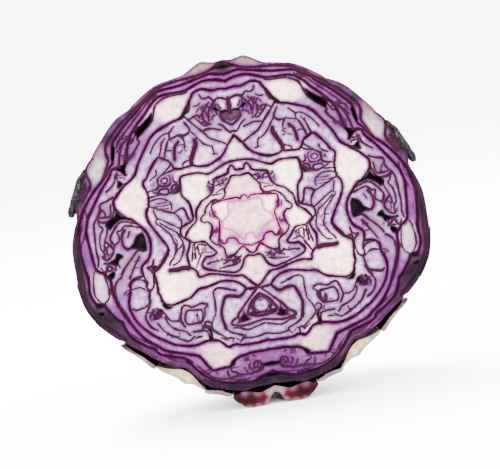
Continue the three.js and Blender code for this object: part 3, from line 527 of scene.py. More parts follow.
# tints in the flesh: colour, then x, z and radius in mm of each place that has it
fleshTints = {
    "bone": ("#fdf8f3", [
        (11, 5, 3), (20, 18, 7), (50, 15, 8), (26, 56, 7), (62, 34, 5), (64, 30, 3.4), (70, -18, 3.6),
        (70, -24, 3.6), (38, -25, 8), (22, -3, 4)]),
    "blush": ("#f4eae8", [
        (0, 0, 8), (24, -58, 7), (20, -25, 3), (0, -22, 6), (0, 33, 4), (8, -12.5, 2), (5, 15, 4),
        (3.2, 52.8, 1.8), (20, -62, 4)]),
    "petal": ("#eee2ea", [
        (3, 6, 3), (14, 61.5, 4), (13, 31, 4), (65, -12, 3), (14, -38, 4)]),
    "mist": ("#e2d5e5", [
        (22, 40, 3), (40, 33, 3.4), (52, -30, 4), (31, -40.4, 4), (22, -38, 3), (24, -32, 3), (3, -41, 3)]),
    "lilac": ("#d8c6dc", [
        (33, 10, 3), (36, 22, 4), (35, 30, 3), (27, 42, 3), (14, 43, 3), (53, -19, 3), (70.6, 0, 2.4),
        (55, -2, 2.4), (41, -39, 3), (12, -30, 3), (3, -51, 4), (20, -47, 3)]),
    "lavender": ("#cbb4d1", [
        (6, -8, 3), (35, 46.6, 3), (38, 12, 3.4), (32, 20, 3), (30, 35, 3), (33, 40, 3), (20, 45, 3),
        (14, 56, 3), (61, 20, 3), (66, 4, 2), (54, 2, 2.4), (64.5, -4.5, 2.6), (30, -46, 3), (38, -43, 3),
        (44, -46, 3), (36, -51, 3), (12, -51, 4), (8, -58, 3)]),
    "mauve": ("#b797bc", [
        (45, 41, 3), (48, -38, 3), (47, -52, 3), (62, -21, 3), (52, -10, 2.4), (68, 20, 3),
        (9.2, 18, 2.2), (9.5, -17.8, 2.6), (19.6, -17, 2), (14.6, 16, 1.8), (15.5, -3.5, 1.8),
        (14.6, 4.2, 1.6), (33, -57, 3), (6, 63, 3), (18, 63, 3)]),
    "heather": ("#a478ab", [
        (41, 43, 2.4), (56, -40, 3), (54, -45, 3), (60, -28, 3), (73.8, 3, 2), (72, 14, 3), (9, -44, 2.4),
        (12, -64, 3), (30, -64, 3), (30, 61, 3), (48, -57, 3)]),
    "smoke": ("#9a8098", [
        (11, 49.5, 4), (62.5, 13.5, 3)]),
    "plum": ("#87638e", [
        (48, 38, 4), (7.4, 50, 1.6), (59, -37, 3), (74.4, -8, 2), (22, -68, 3), (8, -66, 3),
        (10, 64.8, 2), (47, 53.6, 2.4), (53, 49, 2.4), (66, 35, 2), (56, -51.6, 3), (40, -60.6, 3)]),
    "grape": ("#60446a", [
        (15, -72, 3), (24, -72.6, 3), (64, -44, 3)]),
    "aubergine": ("#433145", [
        (77, 8, 2.4), (79, -8, 3), (75, -34, 4), (70, -38, 4), (28, -73, 3), (18, -75, 3), (5, -74.6, 3)]),
    "ash": ("#45413c", [
        (70, 29, 2.6), (72, 25, 3), (74.6, 19, 3), (76.6, 14, 2.4), (79, -24, 3)]),
    "straw": ("#dfceb1", [
        (8, 70.5, 3), (14, 69.2, 2.6), (22, 67.6, 2.2), (20, 67, 2)]),
    "fawn": ("#bba7a2", [
        (56, -12.5, 2.4), (30, 65.4, 2), (40, 59, 2.4), (60, 40, 2.6)]),
}
ringBase = {
    "core": "#f3e8e6", "heart_leaf": "#f1e7ec", "star_leaf": "#eee2ea", "inner_leaf": "#f2e9ee",
    "folded_leaf": "#e9ddea", "ring_leaf": "#e2d4e5", "rim_inside": "#d4b8d8", "rim_leaf": "#9a6ca4",
    "head": "#5b4257"}
baseWeight = [0.10] * 7 + [0.35, 0.4]               # the rim keeps more of its own colour

ringNames = list(ringLines) + ["head"]
ringShapes = [mirrored(outlines[name]) for name in ringLines] + [mirrored(headLine)]
# a cell belongs to the innermost ring that holds its middle
cellX = meshX[:-1, :-1] + pitch / 2
cellZ = meshZ[:-1, :-1] + pitch / 2
cellRing = np.full(cellX.shape, -1)
vertexRing = np.full(meshX.shape, len(ringNames) - 1)
for k in reversed(range(len(ringNames))):
    cellRing[inside(cellX, cellZ, ringShapes[k])] = k
    vertexRing[inside(meshX, meshZ, ringShapes[k])] = k

ownWeight = np.array(baseWeight)[vertexRing]
ownColour = np.array([linear(ringBase[name]) for name in ringNames])[vertexRing]
places = [(*place, colour) for colour, spots in fleshTints.values() for place in spots]
fleshTint = layTints(ownColour * ownWeight[..., None], ownWeight, places)

# each edge is a groove, and the flesh between swells a little
reliefLook = {
    "swell": 0.62, "swellSpan": 2.8,    # mm, and mm from an edge to the top of the swell
    "roll": 0.10, "rollSize": 9.0,      # mm
    "groove": 1.3, "grooveSpan": (-0.3, 0.55),  # mm deep, and mm from the edge's middle
    "grain": 0.05, "grainSize": 1.6,    # mm
    "base": 0.75,           # mm behind the knife's plane
}
swell = reliefLook["swell"] * ramp(seamGap, 0.0, reliefLook["swellSpan"])
swell += reliefLook["roll"] * softNoise(meshX, meshZ, reliefLook["rollSize"], 3)
groove = reliefLook["groove"] * (1 - ramp(seamGap, *reliefLook["grooveSpan"])) * seamDark
reliefMm = reliefLook["base"] - swell + groove + hollowDepth
reliefMm += reliefLook["grain"] * (softNoise(meshX, meshZ, reliefLook["grainSize"], 5) - 0.5)

# the outer leaves lie in thin layers, each parallel to the outside
layerLook = {
    "spacing": 1.8, "width": 0.05, "skin": 0.2,     # mm, of the layers and of the outermost line
    "dark": 0.8,
    "wobble": 1.1, "ripple": 0.5,       # mm
    "depth": (5.5, 7.5),    # mm in from the skin, where the layers end
    "ribMiddle": (70, -21), "ribSize": (4, 7),  # mm, a thick rib that has none
    "top": (26, 34),        # mm, where they end going up
}
fromSkin = lineDistance(headLine, farthest=9.0, reach=10.0)
layered = (fromSkin + layerLook["wobble"] * softNoise(meshX, meshZ, 8.0, 51)
           + layerLook["ripple"] * softNoise(meshX, meshZ, 3.0, 52)) / layerLook["spacing"]
fromRib = np.hypot(meshX - layerLook["ribMiddle"][0], meshZ - layerLook["ribMiddle"][1])
layerEnd = (ramp(fromSkin, *layerLook["depth"]) + ramp(meshZ, *layerLook["top"])
            + 1 - ramp(fromRib, *layerLook["ribSize"]))
layerGap = np.abs(layered - np.round(layered)) * layerLook["spacing"] - layerLook["width"] + 3.0 * layerEnd
addEdge(layerGap, layerLook["dark"], vertexRing >= ringNames.index("rim_inside"))
# the skin round the whole head is dark where the knife went through it
addEdge(lineDistance(headLine) - layerLook["skin"], 1.0)
print("cut face", meshX.size, "points")


def perMm(size):                                    # pattern scale for a feature this many mm across
    return 1000.0 / size


def feed(tree, socket, value):                      # links an output, or sets a number or a hex colour
    if isinstance(value, bpy.types.NodeSocket):
        tree.links.new(value, socket)
    else:
        socket.default_value = srgb(value) if isinstance(value, str) else value


def addNode(tree, kind, *values, output=None, **settings):
    # settings and named inputs come by name, other inputs in their order; gives back an output
    node = tree.nodes.new("ShaderNode" + kind)
    for key, value in settings.items():
        if key in node.inputs:
            feed(tree, node.inputs[key], value)
        else:
            setattr(node, key, value)
    for socket, value in zip([s for s in node.inputs if s.enabled], values):
        feed(tree, socket, value)
    return node.outputs[output] if output else next(s for s in node.outputs if s.enabled)


def newMaterial(name):                              # a material, and addNode in its tree
    material = bpy.data.materials.new(name)
    material.use_nodes = True
    return material, partial(addNode, material.node_tree)


def setSurface(material, surface):                  # what the Principled shader is fed
    tree = material.node_tree
    for name, value in surface.items():
        feed(tree, tree.nodes["Principled BSDF"].inputs[name], value)


# settings that come up again and again
minus, larger = {"operation": "SUBTRACT"}, {"operation": "MAXIMUM"}
times, timesPlus = {"operation": "MULTIPLY"}, {"operation": "MULTIPLY_ADD"}
smooth = {"interpolation_type": "SMOOTHSTEP"}
blend = {"data_type": "RGBA"}
darken = {"data_type": "RGBA", "blend_type": "DARKEN"}

# Raw leaf flesh, sliced by a knife: moist and satin, cream in the thick ribs, lavender where it is
# thin, with the purple skin of each leaf showing as a fine dark line, and painted shade, near black,
# in the hollows between leaves.
slicedFlesh = {
    "plum": "#1c0414", "mauve": "#3c0e3c", "lavender": "#56345e", "fleck": "#4a1a6c",
    "violet": "#47206a", "rose": "#701858", "magenta": "#300320", "milky": "#9a80a4",
    "paintedHollowShade": "#020402", "wine": "#160209",
    "wander": 0.9, "wanderReach": 0.7,  # mm, wobble of a leaf's edge
    "fibre": 0.55,          # mm, grain of the cut surface; real cells are finer and wouldn't show
    "cloud": 6.0,           # mm, where edges thicken and flecks gather
    "mottle": 2.6,          # mm, patches in thin flesh
    "fleckSpacing": 2.3,    # mm
    "haloReach": 1.35,      # mm the skin's juice runs into the flesh
    "surface": {
        "Subsurface Weight": 0.03, "Subsurface Scale": 0.001, "Subsurface Radius": (1.0, 0.7, 0.8),
        "IOR": 1.36, "Specular IOR Level": 0.05},
}


def makeSlicedFlesh(name, veined):
    look = slicedFlesh
    material, add = newMaterial(name)
    place = add("TexCoord", output="Object")
    tint = add("Attribute", attribute_name="fleshTint", output="Color")
    edge, ink, paintedHollowShade, wine, rosy = [
        add("Attribute", attribute_name=field, output="Fac")
        for field in ("seamGap", "seamDark", "paintedHollowShade", "wine", "rosy")]
    wander = add("TexNoise", Vector=place, Scale=perMm(look["wander"]), Detail=2.0)
    fibre = add("TexNoise", Vector=place, Scale=perMm(look["fibre"]), Detail=3.0, Roughness=0.6)
    cloud = add("TexNoise", Vector=place, Scale=perMm(look["cloud"]), Detail=3.0)
    mottle = add("TexNoise", Vector=place, Scale=perMm(look["mottle"]), Detail=3.0, Roughness=0.6)
    # the line wanders, and swells and thins along its way
    gap = add("Math", wander, look["wanderReach"], edge, **timesPlus)
    gap = add("Math", gap, add("MapRange", cloud, 0.48, 0.64, 0.35, 0.61, **smooth), **minus)
    # thin flesh is the more purple, and patchy
    parts = add("SeparateColor", tint).node.outputs
    purple = add("Math", parts["Blue"], parts["Green"], **minus)
    thin = add("Math", add("MapRange", purple, 0.02, 0.13, **smooth),
               add("MapRange", parts["Green"], 0.09, 0.02, 0.0, 0.18, **smooth), **larger)
    patchy = add("Math", add("MapRange", mottle, 0.47, 0.66, 0.0, 0.75, **smooth), thin, **times)
    pale = add("Math", add("MapRange", mottle, 0.50, 0.32, 0.0, 0.55, **smooth), thin, **times)
    pale = add("Math", pale, add("MapRange", parts["Green"], 0.004, 0.02, **smooth), **times)
    colour = add("Mix", pale, tint, look["milky"], **blend)
    colour = add("Mix", patchy, colour, look["violet"], **darken)
    # lavender spreads from each edge, further where the flesh is thin
    wide = add("Math", add("MapRange", gap, 3.0, 0.1, **smooth),
               add("MapRange", mottle, 0.30, 0.62, **smooth), **times)
    wide = add("Math", wide, add("Math", thin, 0.65, 0.35, **timesPlus), **times)
    colour = add("Mix", add("Math", wide, ink, **times), colour, look["lavender"], **darken)
    halo = add("Math", gap, add("Math", mottle, 1.5, **times), **minus)
    halo = add("Math", add("MapRange", halo, look["haloReach"], -0.45, **smooth),
               add("Math", ink, 0.95, **times), **times)
    colour = add("Mix", halo, colour, add("Mix", rosy, look["mauve"], look["rose"], **blend), **darken)
    line = add("Math", gap, add("Math", ink, 0.12, **times), **minus)
    line = add("MapRange", line, 0.26, -0.12, **smooth)
    colour = add("Mix", line, colour, add("Mix", rosy, look["plum"], look["magenta"], **blend), **darken)
    spots = add("TexVoronoi", Vector=place, Scale=perMm(look["fleckSpacing"]))
    fleck = add("Math", add("MapRange", spots, 0.16, 0.05, **smooth),
                add("MapRange", cloud, 0.5, 0.62, 0.0, 0.35, **smooth), **times)
    colour = add("Mix", fleck, colour, look["fleck"], **blend)
    if veined:                                      # pink vessels in the core
        vein = add("Attribute", attribute_name="veinGap", output="Fac")
        vein = add("Math", wander, 0.5, vein, **timesPlus)
        for source, span in ((vein, (1.3, 0.4, 0.0, 0.85)), (mottle, (0.56, 0.70, 0.0, 0.16))):
            colour = add("Mix", add("MapRange", source, *span, **smooth), colour, look["rose"], **blend)
    red, green = [add("MapRange", fibre, low, 0.70, **smooth) for low in (0.10, 0.18)]
    grey = add("CombineColor", red, green, red)
    colour = add("Mix", 0.09, colour, grey, data_type="RGBA", blend_type="MULTIPLY")
    colour = add("Mix", add("Math", wine, 0.92, **times), colour, look["wine"], **blend)
    # the hollows between leaves are painted near black: painted shade
    colour = add("Mix", add("Math", paintedHollowShade, 0.97, **times), colour, look["paintedHollowShade"], **blend)
    rough = add("Math", add("Math", fibre, 0.16, 0.36, **timesPlus),
                add("Math", paintedHollowShade, 0.85, **times), **larger)
    bump = add("Bump", Height=fibre, Strength=0.35, Distance=0.00012)
    setSurface(material, {**look["surface"], "Base Color": colour, "Roughness": rough, "Normal": bump})
    return material


leafFleshSliced = makeSlicedFlesh("leafFleshSliced", False)
coreFleshSliced = makeSlicedFlesh("coreFleshSliced", True)

# Waxy skin of an outer leaf, grown: dull purple under a dusty bloom, with pale veins.
outerSkin = {
    "purple": "#0e0212", "deep": "#050106", "bloom": "#180c20", "bloomAmount": 0.65,
    "vein": "#2c1a32", "rib": "#4c3646",
    "bloomPatch": 16.0,     # mm
    "netCell": 4.2,         # mm between the finest veins
    "grain": 0.7,           # mm
}


def makeLeafSkin(name, **changes):
    look = {**outerSkin, **changes}
    material, add = newMaterial(name)
    place = add("TexCoord", output="Object")
    vein = add("Attribute", attribute_name="veinGap", output="Fac")
    rib = add("Attribute", attribute_name="ribShade", output="Fac")
    patch = add("TexNoise", Vector=place, Scale=perMm(look["bloomPatch"]), Detail=5.0, Roughness=0.62)
    net = add("TexVoronoi", Vector=place, Scale=perMm(look["netCell"]), feature="DISTANCE_TO_EDGE")
    grain = add("TexNoise", Vector=place, Scale=perMm(look["grain"]), Detail=2.0)
    colour = add("Mix", add("MapRange", patch, 0.35, 0.65, **smooth), look["deep"], look["purple"], **blend)
    for source, span, over in (
            (patch, (0.42, 0.72, 0.0, look["bloomAmount"]), look["bloom"]),
            (net, (0.09, 0.0, 0.0, 0.30), look["vein"]), (vein, (1.6, 0.2, 0.0, 0.62), look["vein"])):
        colour = add("Mix", add("MapRange", source, *span, **smooth), colour, over, **blend)
    colour = add("Mix", rib, colour, look["rib"], **blend)
    colour = add("Mix", add("Math", grain, 0.12, **times), colour, look["deep"], **blend)
    rough = add("Math", patch, 0.28, 0.32, **timesPlus)
    height = add("Math", add("MapRange", net, 0.0, 0.16, **smooth), -0.6, grain, **timesPlus)
    bump = add("Bump", Height=height, Strength=0.5, Distance=0.00022)
    setSurface(material, {"IOR": 1.42, "Specular IOR Level": 0.1, "Base Color": colour,
                          "Roughness": rough, "Normal": bump})
    return material


leafSkinWaxy = makeLeafSkin("leafSkinWaxy")
leafSkinCream = makeLeafSkin("leafSkinCream", rib="#7c623a")    # the same leaf with a cream midrib
# the leaf's back is duller and greyer, and a dried scrap has lost its purple and gone near black
leafUndersideDull = makeLeafSkin("leafUndersideDull", purple="#160a12", deep="#080305", bloom="#2c1e27",
                                 bloomAmount=0.5)
leafScrapDried = makeLeafSkin("leafScrapDried", purple="#0a0a09", deep="#030303", bloom="#161614",
                              bloomAmount=0.6, rib="#34322f")

# Thick midrib of an old outer leaf: cream, a little yellow, with brown flecks and fine long fibres.
ribLook = {
    "cream": "#ccbd98", "pale": "#e2d6bc", "fleck": "#6d4a2c", "stain": "#80606a", "stainAmount": 0.35,
    "fibre": 1.4,           # mm, and six times as long
    "stainPatch": 7.0,      # mm
    "fleckSpacing": 3.1,    # mm
    "surface": {
        "Roughness": 0.5, "Subsurface Weight": 0.08, "Subsurface Scale": 0.002, "IOR": 1.38,
        "Specular IOR Level": 0.2},
}


def makeRib(name, **changes):
    look = {**ribLook, **changes}
    material, add = newMaterial(name)
    place = add("TexCoord", output="Object")
    stretched = add("Mapping", Vector=place, Scale=(1.0, 0.16, 1.0))
    fibre = add("TexNoise", Vector=stretched, Scale=perMm(look["fibre"]), Detail=3.0)
    cloud = add("TexNoise", Vector=place, Scale=perMm(look["stainPatch"]), Detail=4.0)
    spots = add("TexVoronoi", Vector=place, Scale=perMm(look["fleckSpacing"]))
    tint = add("Attribute", attribute_name="skinTint", output="Color")
    amount = add("Attribute", attribute_name="skinAmount", output="Fac")
    fleck = add("Math", add("MapRange", spots, 0.14, 0.04, **smooth),
                add("MapRange", cloud, 0.46, 0.6, 0.0, 0.6, **smooth), **times)
    stain = add("MapRange", cloud, 0.5, 0.75, 0.0, look["stainAmount"], **smooth)
    colour = add("Mix", add("MapRange", fibre, 0.35, 0.65, **smooth), look["cream"], look["pale"], **blend)
    for share, over in ((stain, look["stain"]), (fleck, look["fleck"]), (amount, tint)):
        colour = add("Mix", share, colour, over, **blend)
    bump = add("Bump", Height=fibre, Strength=0.4, Distance=0.0002)
    setSurface(material, {**look["surface"], "Base Color": colour, "Normal": bump})
    return material


leafRibFibrous = makeRib("leafRibFibrous")
# the stem is the same tissue, gone tan and woody where it was cut and dried
stemCutDry = makeRib("stemCutDry", cream="#8c7a56", pale="#ad9a70", stainAmount=0.5)
print("materials ready")


def makeObject(name, points, faces, data, materials, faceMaterial=None):    # a smooth mesh from mm
    mesh = bpy.data.meshes.new(name)
    points = np.asarray(points, float)
    mesh.vertices.add(len(points))
    mesh.vertices.foreach_set("co", (points * mm).ravel())
    faces = np.asarray(faces, np.int32)
    mesh.loops.add(faces.size)
    mesh.loops.foreach_set("vertex_index", faces.ravel())
    mesh.polygons.add(len(faces))
    mesh.polygons.foreach_set("loop_start", np.arange(len(faces), dtype=np.int32) * faces.shape[1])
    if faceMaterial is not None:
        mesh.polygons.foreach_set("material_index", np.asarray(faceMaterial, np.int32))
    mesh.update(calc_edges=True)
    mesh.polygons.foreach_set("use_smooth", np.ones(len(faces), bool))
    for key, values in data.items():
        values = np.asarray(values, float)
        if values.ndim == 2:
            layer = mesh.attributes.new(key, "FLOAT_COLOR", "POINT")
            layer.data.foreach_set("color", np.hstack([values, np.ones((len(values), 1))]).ravel())
        else:
            layer = mesh.attributes.new(key, "FLOAT", "POINT")
            layer.data.foreach_set("value", values)
    for material in materials:
        mesh.materials.append(material)
    mesh.validate()
    piece = bpy.data.objects.new(name, mesh)
    bpy.context.scene.collection.objects.link(piece)
    return piece


def declare(piece, slotName, *nodes):
    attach(piece, "root")
    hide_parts(*nodes)


def toFrame(x, deep, z):                            # cut-face mm and depth to the frame's mm
    return np.stack([x, cutY / mm + deep, head["coreHeight"] + z], axis=-1)


def domeBack(x, z, deep):                           # where a point on the cut face goes at this depth
    radius = np.maximum(np.hypot(x, z), 0.5)
    share = np.clip(deep / radius, 0, 0.985)
    keep = (1 - share ** head["domePower"]) ** (1 / head["domePower"])
    reach = share * radius
    return x * keep, reach, z * keep - head["stemDrop"] * reach


def tuckIn(x, z, deep):                             # the slice's edge dives under the leaf that wraps it
    bx, by, bz = domeBack(x, z, deep)
    inward = 1 - 0.006 * deep
    return bx * inward, by, bz * inward


def nearestOn(outline, x, z):                       # closest point of a closed outline, for each x, z
    a, b = outline, np.roll(outline, -1, axis=0)
    d = b - a
    length = np.maximum((d ** 2).sum(1), 1e-9)
    t = ((x[:, None] - a[:, 0]) * d[:, 0] + (z[:, None] - a[:, 1]) * d[:, 1]) / length
    t = np.clip(t, 0, 1)
    px = a[:, 0] + t * d[:, 0]
    pz = a[:, 1] + t * d[:, 1]
    best = np.argmin((px - x[:, None]) ** 2 + (pz - z[:, None]) ** 2, axis=1)
    rows = np.arange(len(x))
    return px[rows, best], pz[rows, best]


countZ = len(gridZ)


def touchesOutside(used, kept):                     # points with a missing cell beside them
    i, j = used // countZ, used % countZ
    full = np.ones(len(used), bool)
    for a in (0, -1):
        for b in (0, -1):
            ii, jj = i + a, j + b
            ok = (ii >= 0) & (jj >= 0) & (ii < kept.shape[0]) & (jj < kept.shape[1])
            got = np.zeros(len(used), bool)
            got[ok] = kept[ii[ok], jj[ok]]
            if a == -1:
                got |= i == 0                       # the mirror plane isn't an edge
            full &= got
    return ~full


def weldMiddle(piece):                              # joins the two halves where they meet
    weld = bmesh.new()
    weld.from_mesh(piece.data)
    middle = [v for v in weld.verts if abs(v.co.x) < 1e-6]
    bmesh.ops.remove_doubles(weld, verts=middle, dist=2e-5)
    weld.to_mesh(piece.data)
    weld.free()


def slicePiece(name, cells, kept, outline, side, fields, relief, walls, materials, wallMap=domeBack):
    # a sliced face over these cells, and walls going back from its edge; kept is every cell of the
    # body whose outline that edge is drawn onto
    ci, cj = np.nonzero(cells)
    corner = ci * countZ + cj
    quads = np.stack([corner, corner + countZ, corner + countZ + 1, corner + 1], axis=1)
    used, index = np.unique(quads, return_inverse=True)
    quads = index.reshape(quads.shape)
    x = meshX.ravel()[used]
    z = meshZ.ravel()[used]
    deep = relief.ravel()[used]
    move = touchesOutside(used, kept)
    x[move], z[move] = nearestOn(outline, x[move], z[move])
    x[used // countZ == 0] = 0.0

    # edges that only one cell has
    edges = np.concatenate([quads[:, [k, (k + 1) % 4]] for k in range(4)])
    key = np.sort(edges, axis=1)
    code = key[:, 0].astype(np.int64) * len(used) + key[:, 1]
    _, first, counts = np.unique(code, return_index=True, return_counts=True)
    rim = edges[first[counts == 1]]
    if side == "both":
        onAxis = (x[rim[:, 0]] == 0) & (x[rim[:, 1]] == 0)
        rim = rim[~onAxis]
    ring, rimIndex = np.unique(rim, return_inverse=True)
    rimIndex = rimIndex.reshape(rim.shape)

    points = [toFrame(x, deep, z), toFrame(x[ring], deep[ring], z[ring])]
    faces = [quads]
    for row, back in enumerate(walls[1:], 1):
        bx, by, bz = wallMap(x[ring], z[ring], np.full(len(ring), float(back)))
        points.append(toFrame(bx, np.maximum(by, deep[ring] + 0.05 * row), bz))
        here = len(used) + row * len(ring)
        low = here - len(ring)
        faces.append(np.stack([rimIndex[:, 1] + low, rimIndex[:, 0] + low, rimIndex[:, 0] + here,
                               rimIndex[:, 1] + here], axis=1))
    marks = np.repeat([0, len(materials) - 1], [len(quads), len(rim) * (len(walls) - 1)])
    points, faces = np.vstack(points), np.vstack(faces)
    source = np.concatenate([np.arange(len(used))] + [ring] * len(walls))
    data = {key: values.reshape(-1, *values.shape[2:])[used][source] for key, values in fields.items()}
    if side != "r":
        other, turned = points * [-1, 1, 1], faces[:, ::-1]
        if side == "l":
            points, faces = other, turned
        else:
            faces = np.vstack([faces, turned + len(points)])
            points = np.vstack([points, other])
            marks = np.concatenate([marks, marks])
            data = {key: np.concatenate([values, values]) for key, values in data.items()}
    piece = makeObject(name, points, faces, data, materials, marks)
    if side == "both":
        weldMiddle(piece)
    return piece


# each ring of leaves, split at these turns from straight up (right half, degrees)
leafSectors = [
    ("core", [("core", 0, 180, "both")]),
    ("heart_leaf", [("heart_leaf", 0, 180, "pair")]),
    ("star_leaf", [("star_leaf_upper", 0, 101, "pair"), ("star_leaf_lower", 101, 180, "pair")]),
    ("inner_leaf", [("inner_rib", 0, 97, "pair"), ("inner_leaf", 97, 180, "pair")]),
    ("folded_leaf", [("folded_leaf_upper", 0, 96, "pair"), ("folded_leaf_lower", 96, 180, "pair")]),
    ("ring_leaf", [("top_fold", 0, 25.4, "both"), ("ring_leaf_upper", 25.4, 102, "pair"),
                   ("ring_leaf_lower", 102, 180, "pair")]),
    ("rim_inside", [("top_rib_leaf", 0, 43, "both"), ("side_leaf", 43, 116, "pair"),
                    ("lower_leaf", 116, 180, "pair")]),
    ("rim_leaf", [("rim_leaf_upper", 0, 68, "pair"), ("rim_leaf_side", 68, 131, "pair"),
                  ("rim_leaf_lower", 131, 180, "pair")]),
    ("head", [("top_wrapper", 0, 50, "both"), ("side_wrapper", 50, 128, "pair"),
              ("lower_wrapper", 128, 180, "pair")]),
]
slotOf = {
    "core": "core_flesh", "top_fold": "lavender_flesh", "folded_leaf_upper": "lavender_flesh",
    "side_leaf": "lavender_flesh", "rim_leaf_upper": "purple_leaf", "rim_leaf_side": "purple_leaf",
    "rim_leaf_lower": "purple_leaf", "top_wrapper": "cream_rib", "side_wrapper": "outer_leaf",
    "lower_wrapper": "outer_leaf"}
cutLook = {"edgeRows": (0, 1.2, 3.0, 5.0)}          # mm, how the slice's edge goes back under its wrapper
faceFields = {
    "fleshTint": fleshTint, "seamGap": seamGap, "seamDark": seamDark, "paintedHollowShade": hollowPaintedShade,
    "wine": wineShade, "veinGap": veinGap, "rosy": rosy}
cellTurn = np.degrees(np.arctan2(cellX, cellZ))
cutPieces = 0
for level, (ringName, sectors) in enumerate(leafSectors):
    flesh = coreFleshSliced if ringName == "core" else leafFleshSliced
    for name, start, end, sides in sectors:
        cells = (cellRing == level) & (cellTurn >= start) & (cellTurn < end + (end == 180))
        for side in (("r", "l") if sides == "pair" else ("both",)):
            node = name if side == "both" else name + "_" + side
            piece = slicePiece(node + "_cut", cells, cellRing >= 0, ringShapes[-1], side, faceFields,
                               reliefMm, cutLook["edgeRows"], [flesh], tuckIn)
            declare(piece, slotOf.get(name, "pale_flesh"), node)
            cutPieces += 1
print("cut leaves", cutPieces)

# the outside of the head: waxy leaves that wrap it and run down to the stem
edgeTurn = np.arctan2(headLine[:, 0], headLine[:, 1])
edgeTurn[-1] = math.pi
order = np.argsort(edgeTurn)
edgeTurn, edgeRadius = edgeTurn[order], np.hypot(*headLine.T)[order]


def headRadius(turn):                               # of the head's edge, for any turn from the top
    folded = np.abs(np.arctan2(np.sin(turn), np.cos(turn)))
    return np.interp(folded, edgeTurn, edgeRadius)


domeLeaves = {
    # middle and half width in degrees, at the cut and at the stem; layer 0 lies lowest
    "top_wrapper": {"turn": 0, "cutHalf": 56, "stemHalf": 42, "layer": 2, "lean": 3, "seed": 11},
    "side_wrapper_r": {"turn": 92, "cutHalf": 52, "stemHalf": 66, "layer": 1, "lean": -4, "seed": 12},
    "side_wrapper_l": {"turn": -92, "cutHalf": 52, "stemHalf": 66, "layer": 1, "lean": 4, "seed": 13},
    "lower_wrapper_r": {"turn": 152, "cutHalf": 32, "stemHalf": 46, "layer": 0, "lean": 4, "seed": 14},
    "lower_wrapper_l": {"turn": -152, "cutHalf": 32, "stemHalf": 46, "layer": 0, "lean": -4, "seed": 15},
}
domeLook = {
    "across": 150, "along": 110,    # points each way
    "layerStep": 1.5,       # mm between one leaf and the one over it
    "thickness": 1.3,       # mm
    "start": 0.010,         # of the way back, just behind the sliced face
    "ribWidth": (2.0, 8.0),     # mm at the cut, and more at the stem
    "ribHeight": (0.7, 2.6),    # mm at the cut, and more at the stem
    "veinSpacing": 13.0,    # mm along the midrib
    "veinHeight": 0.75, "veinWidth": 0.95,      # mm
    "veinSlant": (0.62, 0.010),     # mm back for each mm out, and for its square
    "twigSpacing": 8.5, "twigHeight": 0.22, "twigWidth": 0.5,   # mm
    "swell": 1.1, "swellSize": 15,      # mm
    "quilt": 0.55, "quiltSize": 5.5,    # mm, the puckers between fine veins
    "edgeCurl": 0.9,        # mm
}


def domePoint(turn, share, lift):                   # share 0 at the cut, 1 at the stem; lift in mm
    share = domeLook["start"] + (1 - domeLook["start"]) * share
    radius = headRadius(turn)
    power = head["domePower"]
    last = np.arccos(np.clip((head["stemRadius"] * 0.96 / radius) ** (power / 2), 0, 1))
    angle = last * share
    out = radius * np.cos(angle) ** (2 / power) + lift * np.cos(angle)
    deep = radius * np.sin(angle) ** (2 / power) + lift * np.sin(angle)
    return np.stack([out * np.sin(turn), deep, out * np.cos(turn) - head["stemDrop"] * deep], axis=-1)


def sheetFaces(rows, columns):                      # a thin sheet's front, back and the strip round them
    index = np.arange(rows * columns).reshape(rows, columns)
    front = np.stack([index[:-1, :-1], index[:-1, 1:], index[1:, 1:], index[1:, :-1]], axis=-1)
    front = front.reshape(-1, 4)
    loop = np.concatenate([index[:, 0], index[-1, 1:], index[-2::-1, -1], index[0, -2:0:-1]])
    after = np.roll(loop, -1)
    rim = np.stack([loop, after, after + index.size, loop + index.size], axis=1)
    return np.vstack([front, front[:, ::-1] + index.size, rim])


def nearestRepeat(value, spacing):                  # how far to the nearest of evenly spaced lines
    return np.abs(value / spacing - np.round(value / spacing)) * spacing


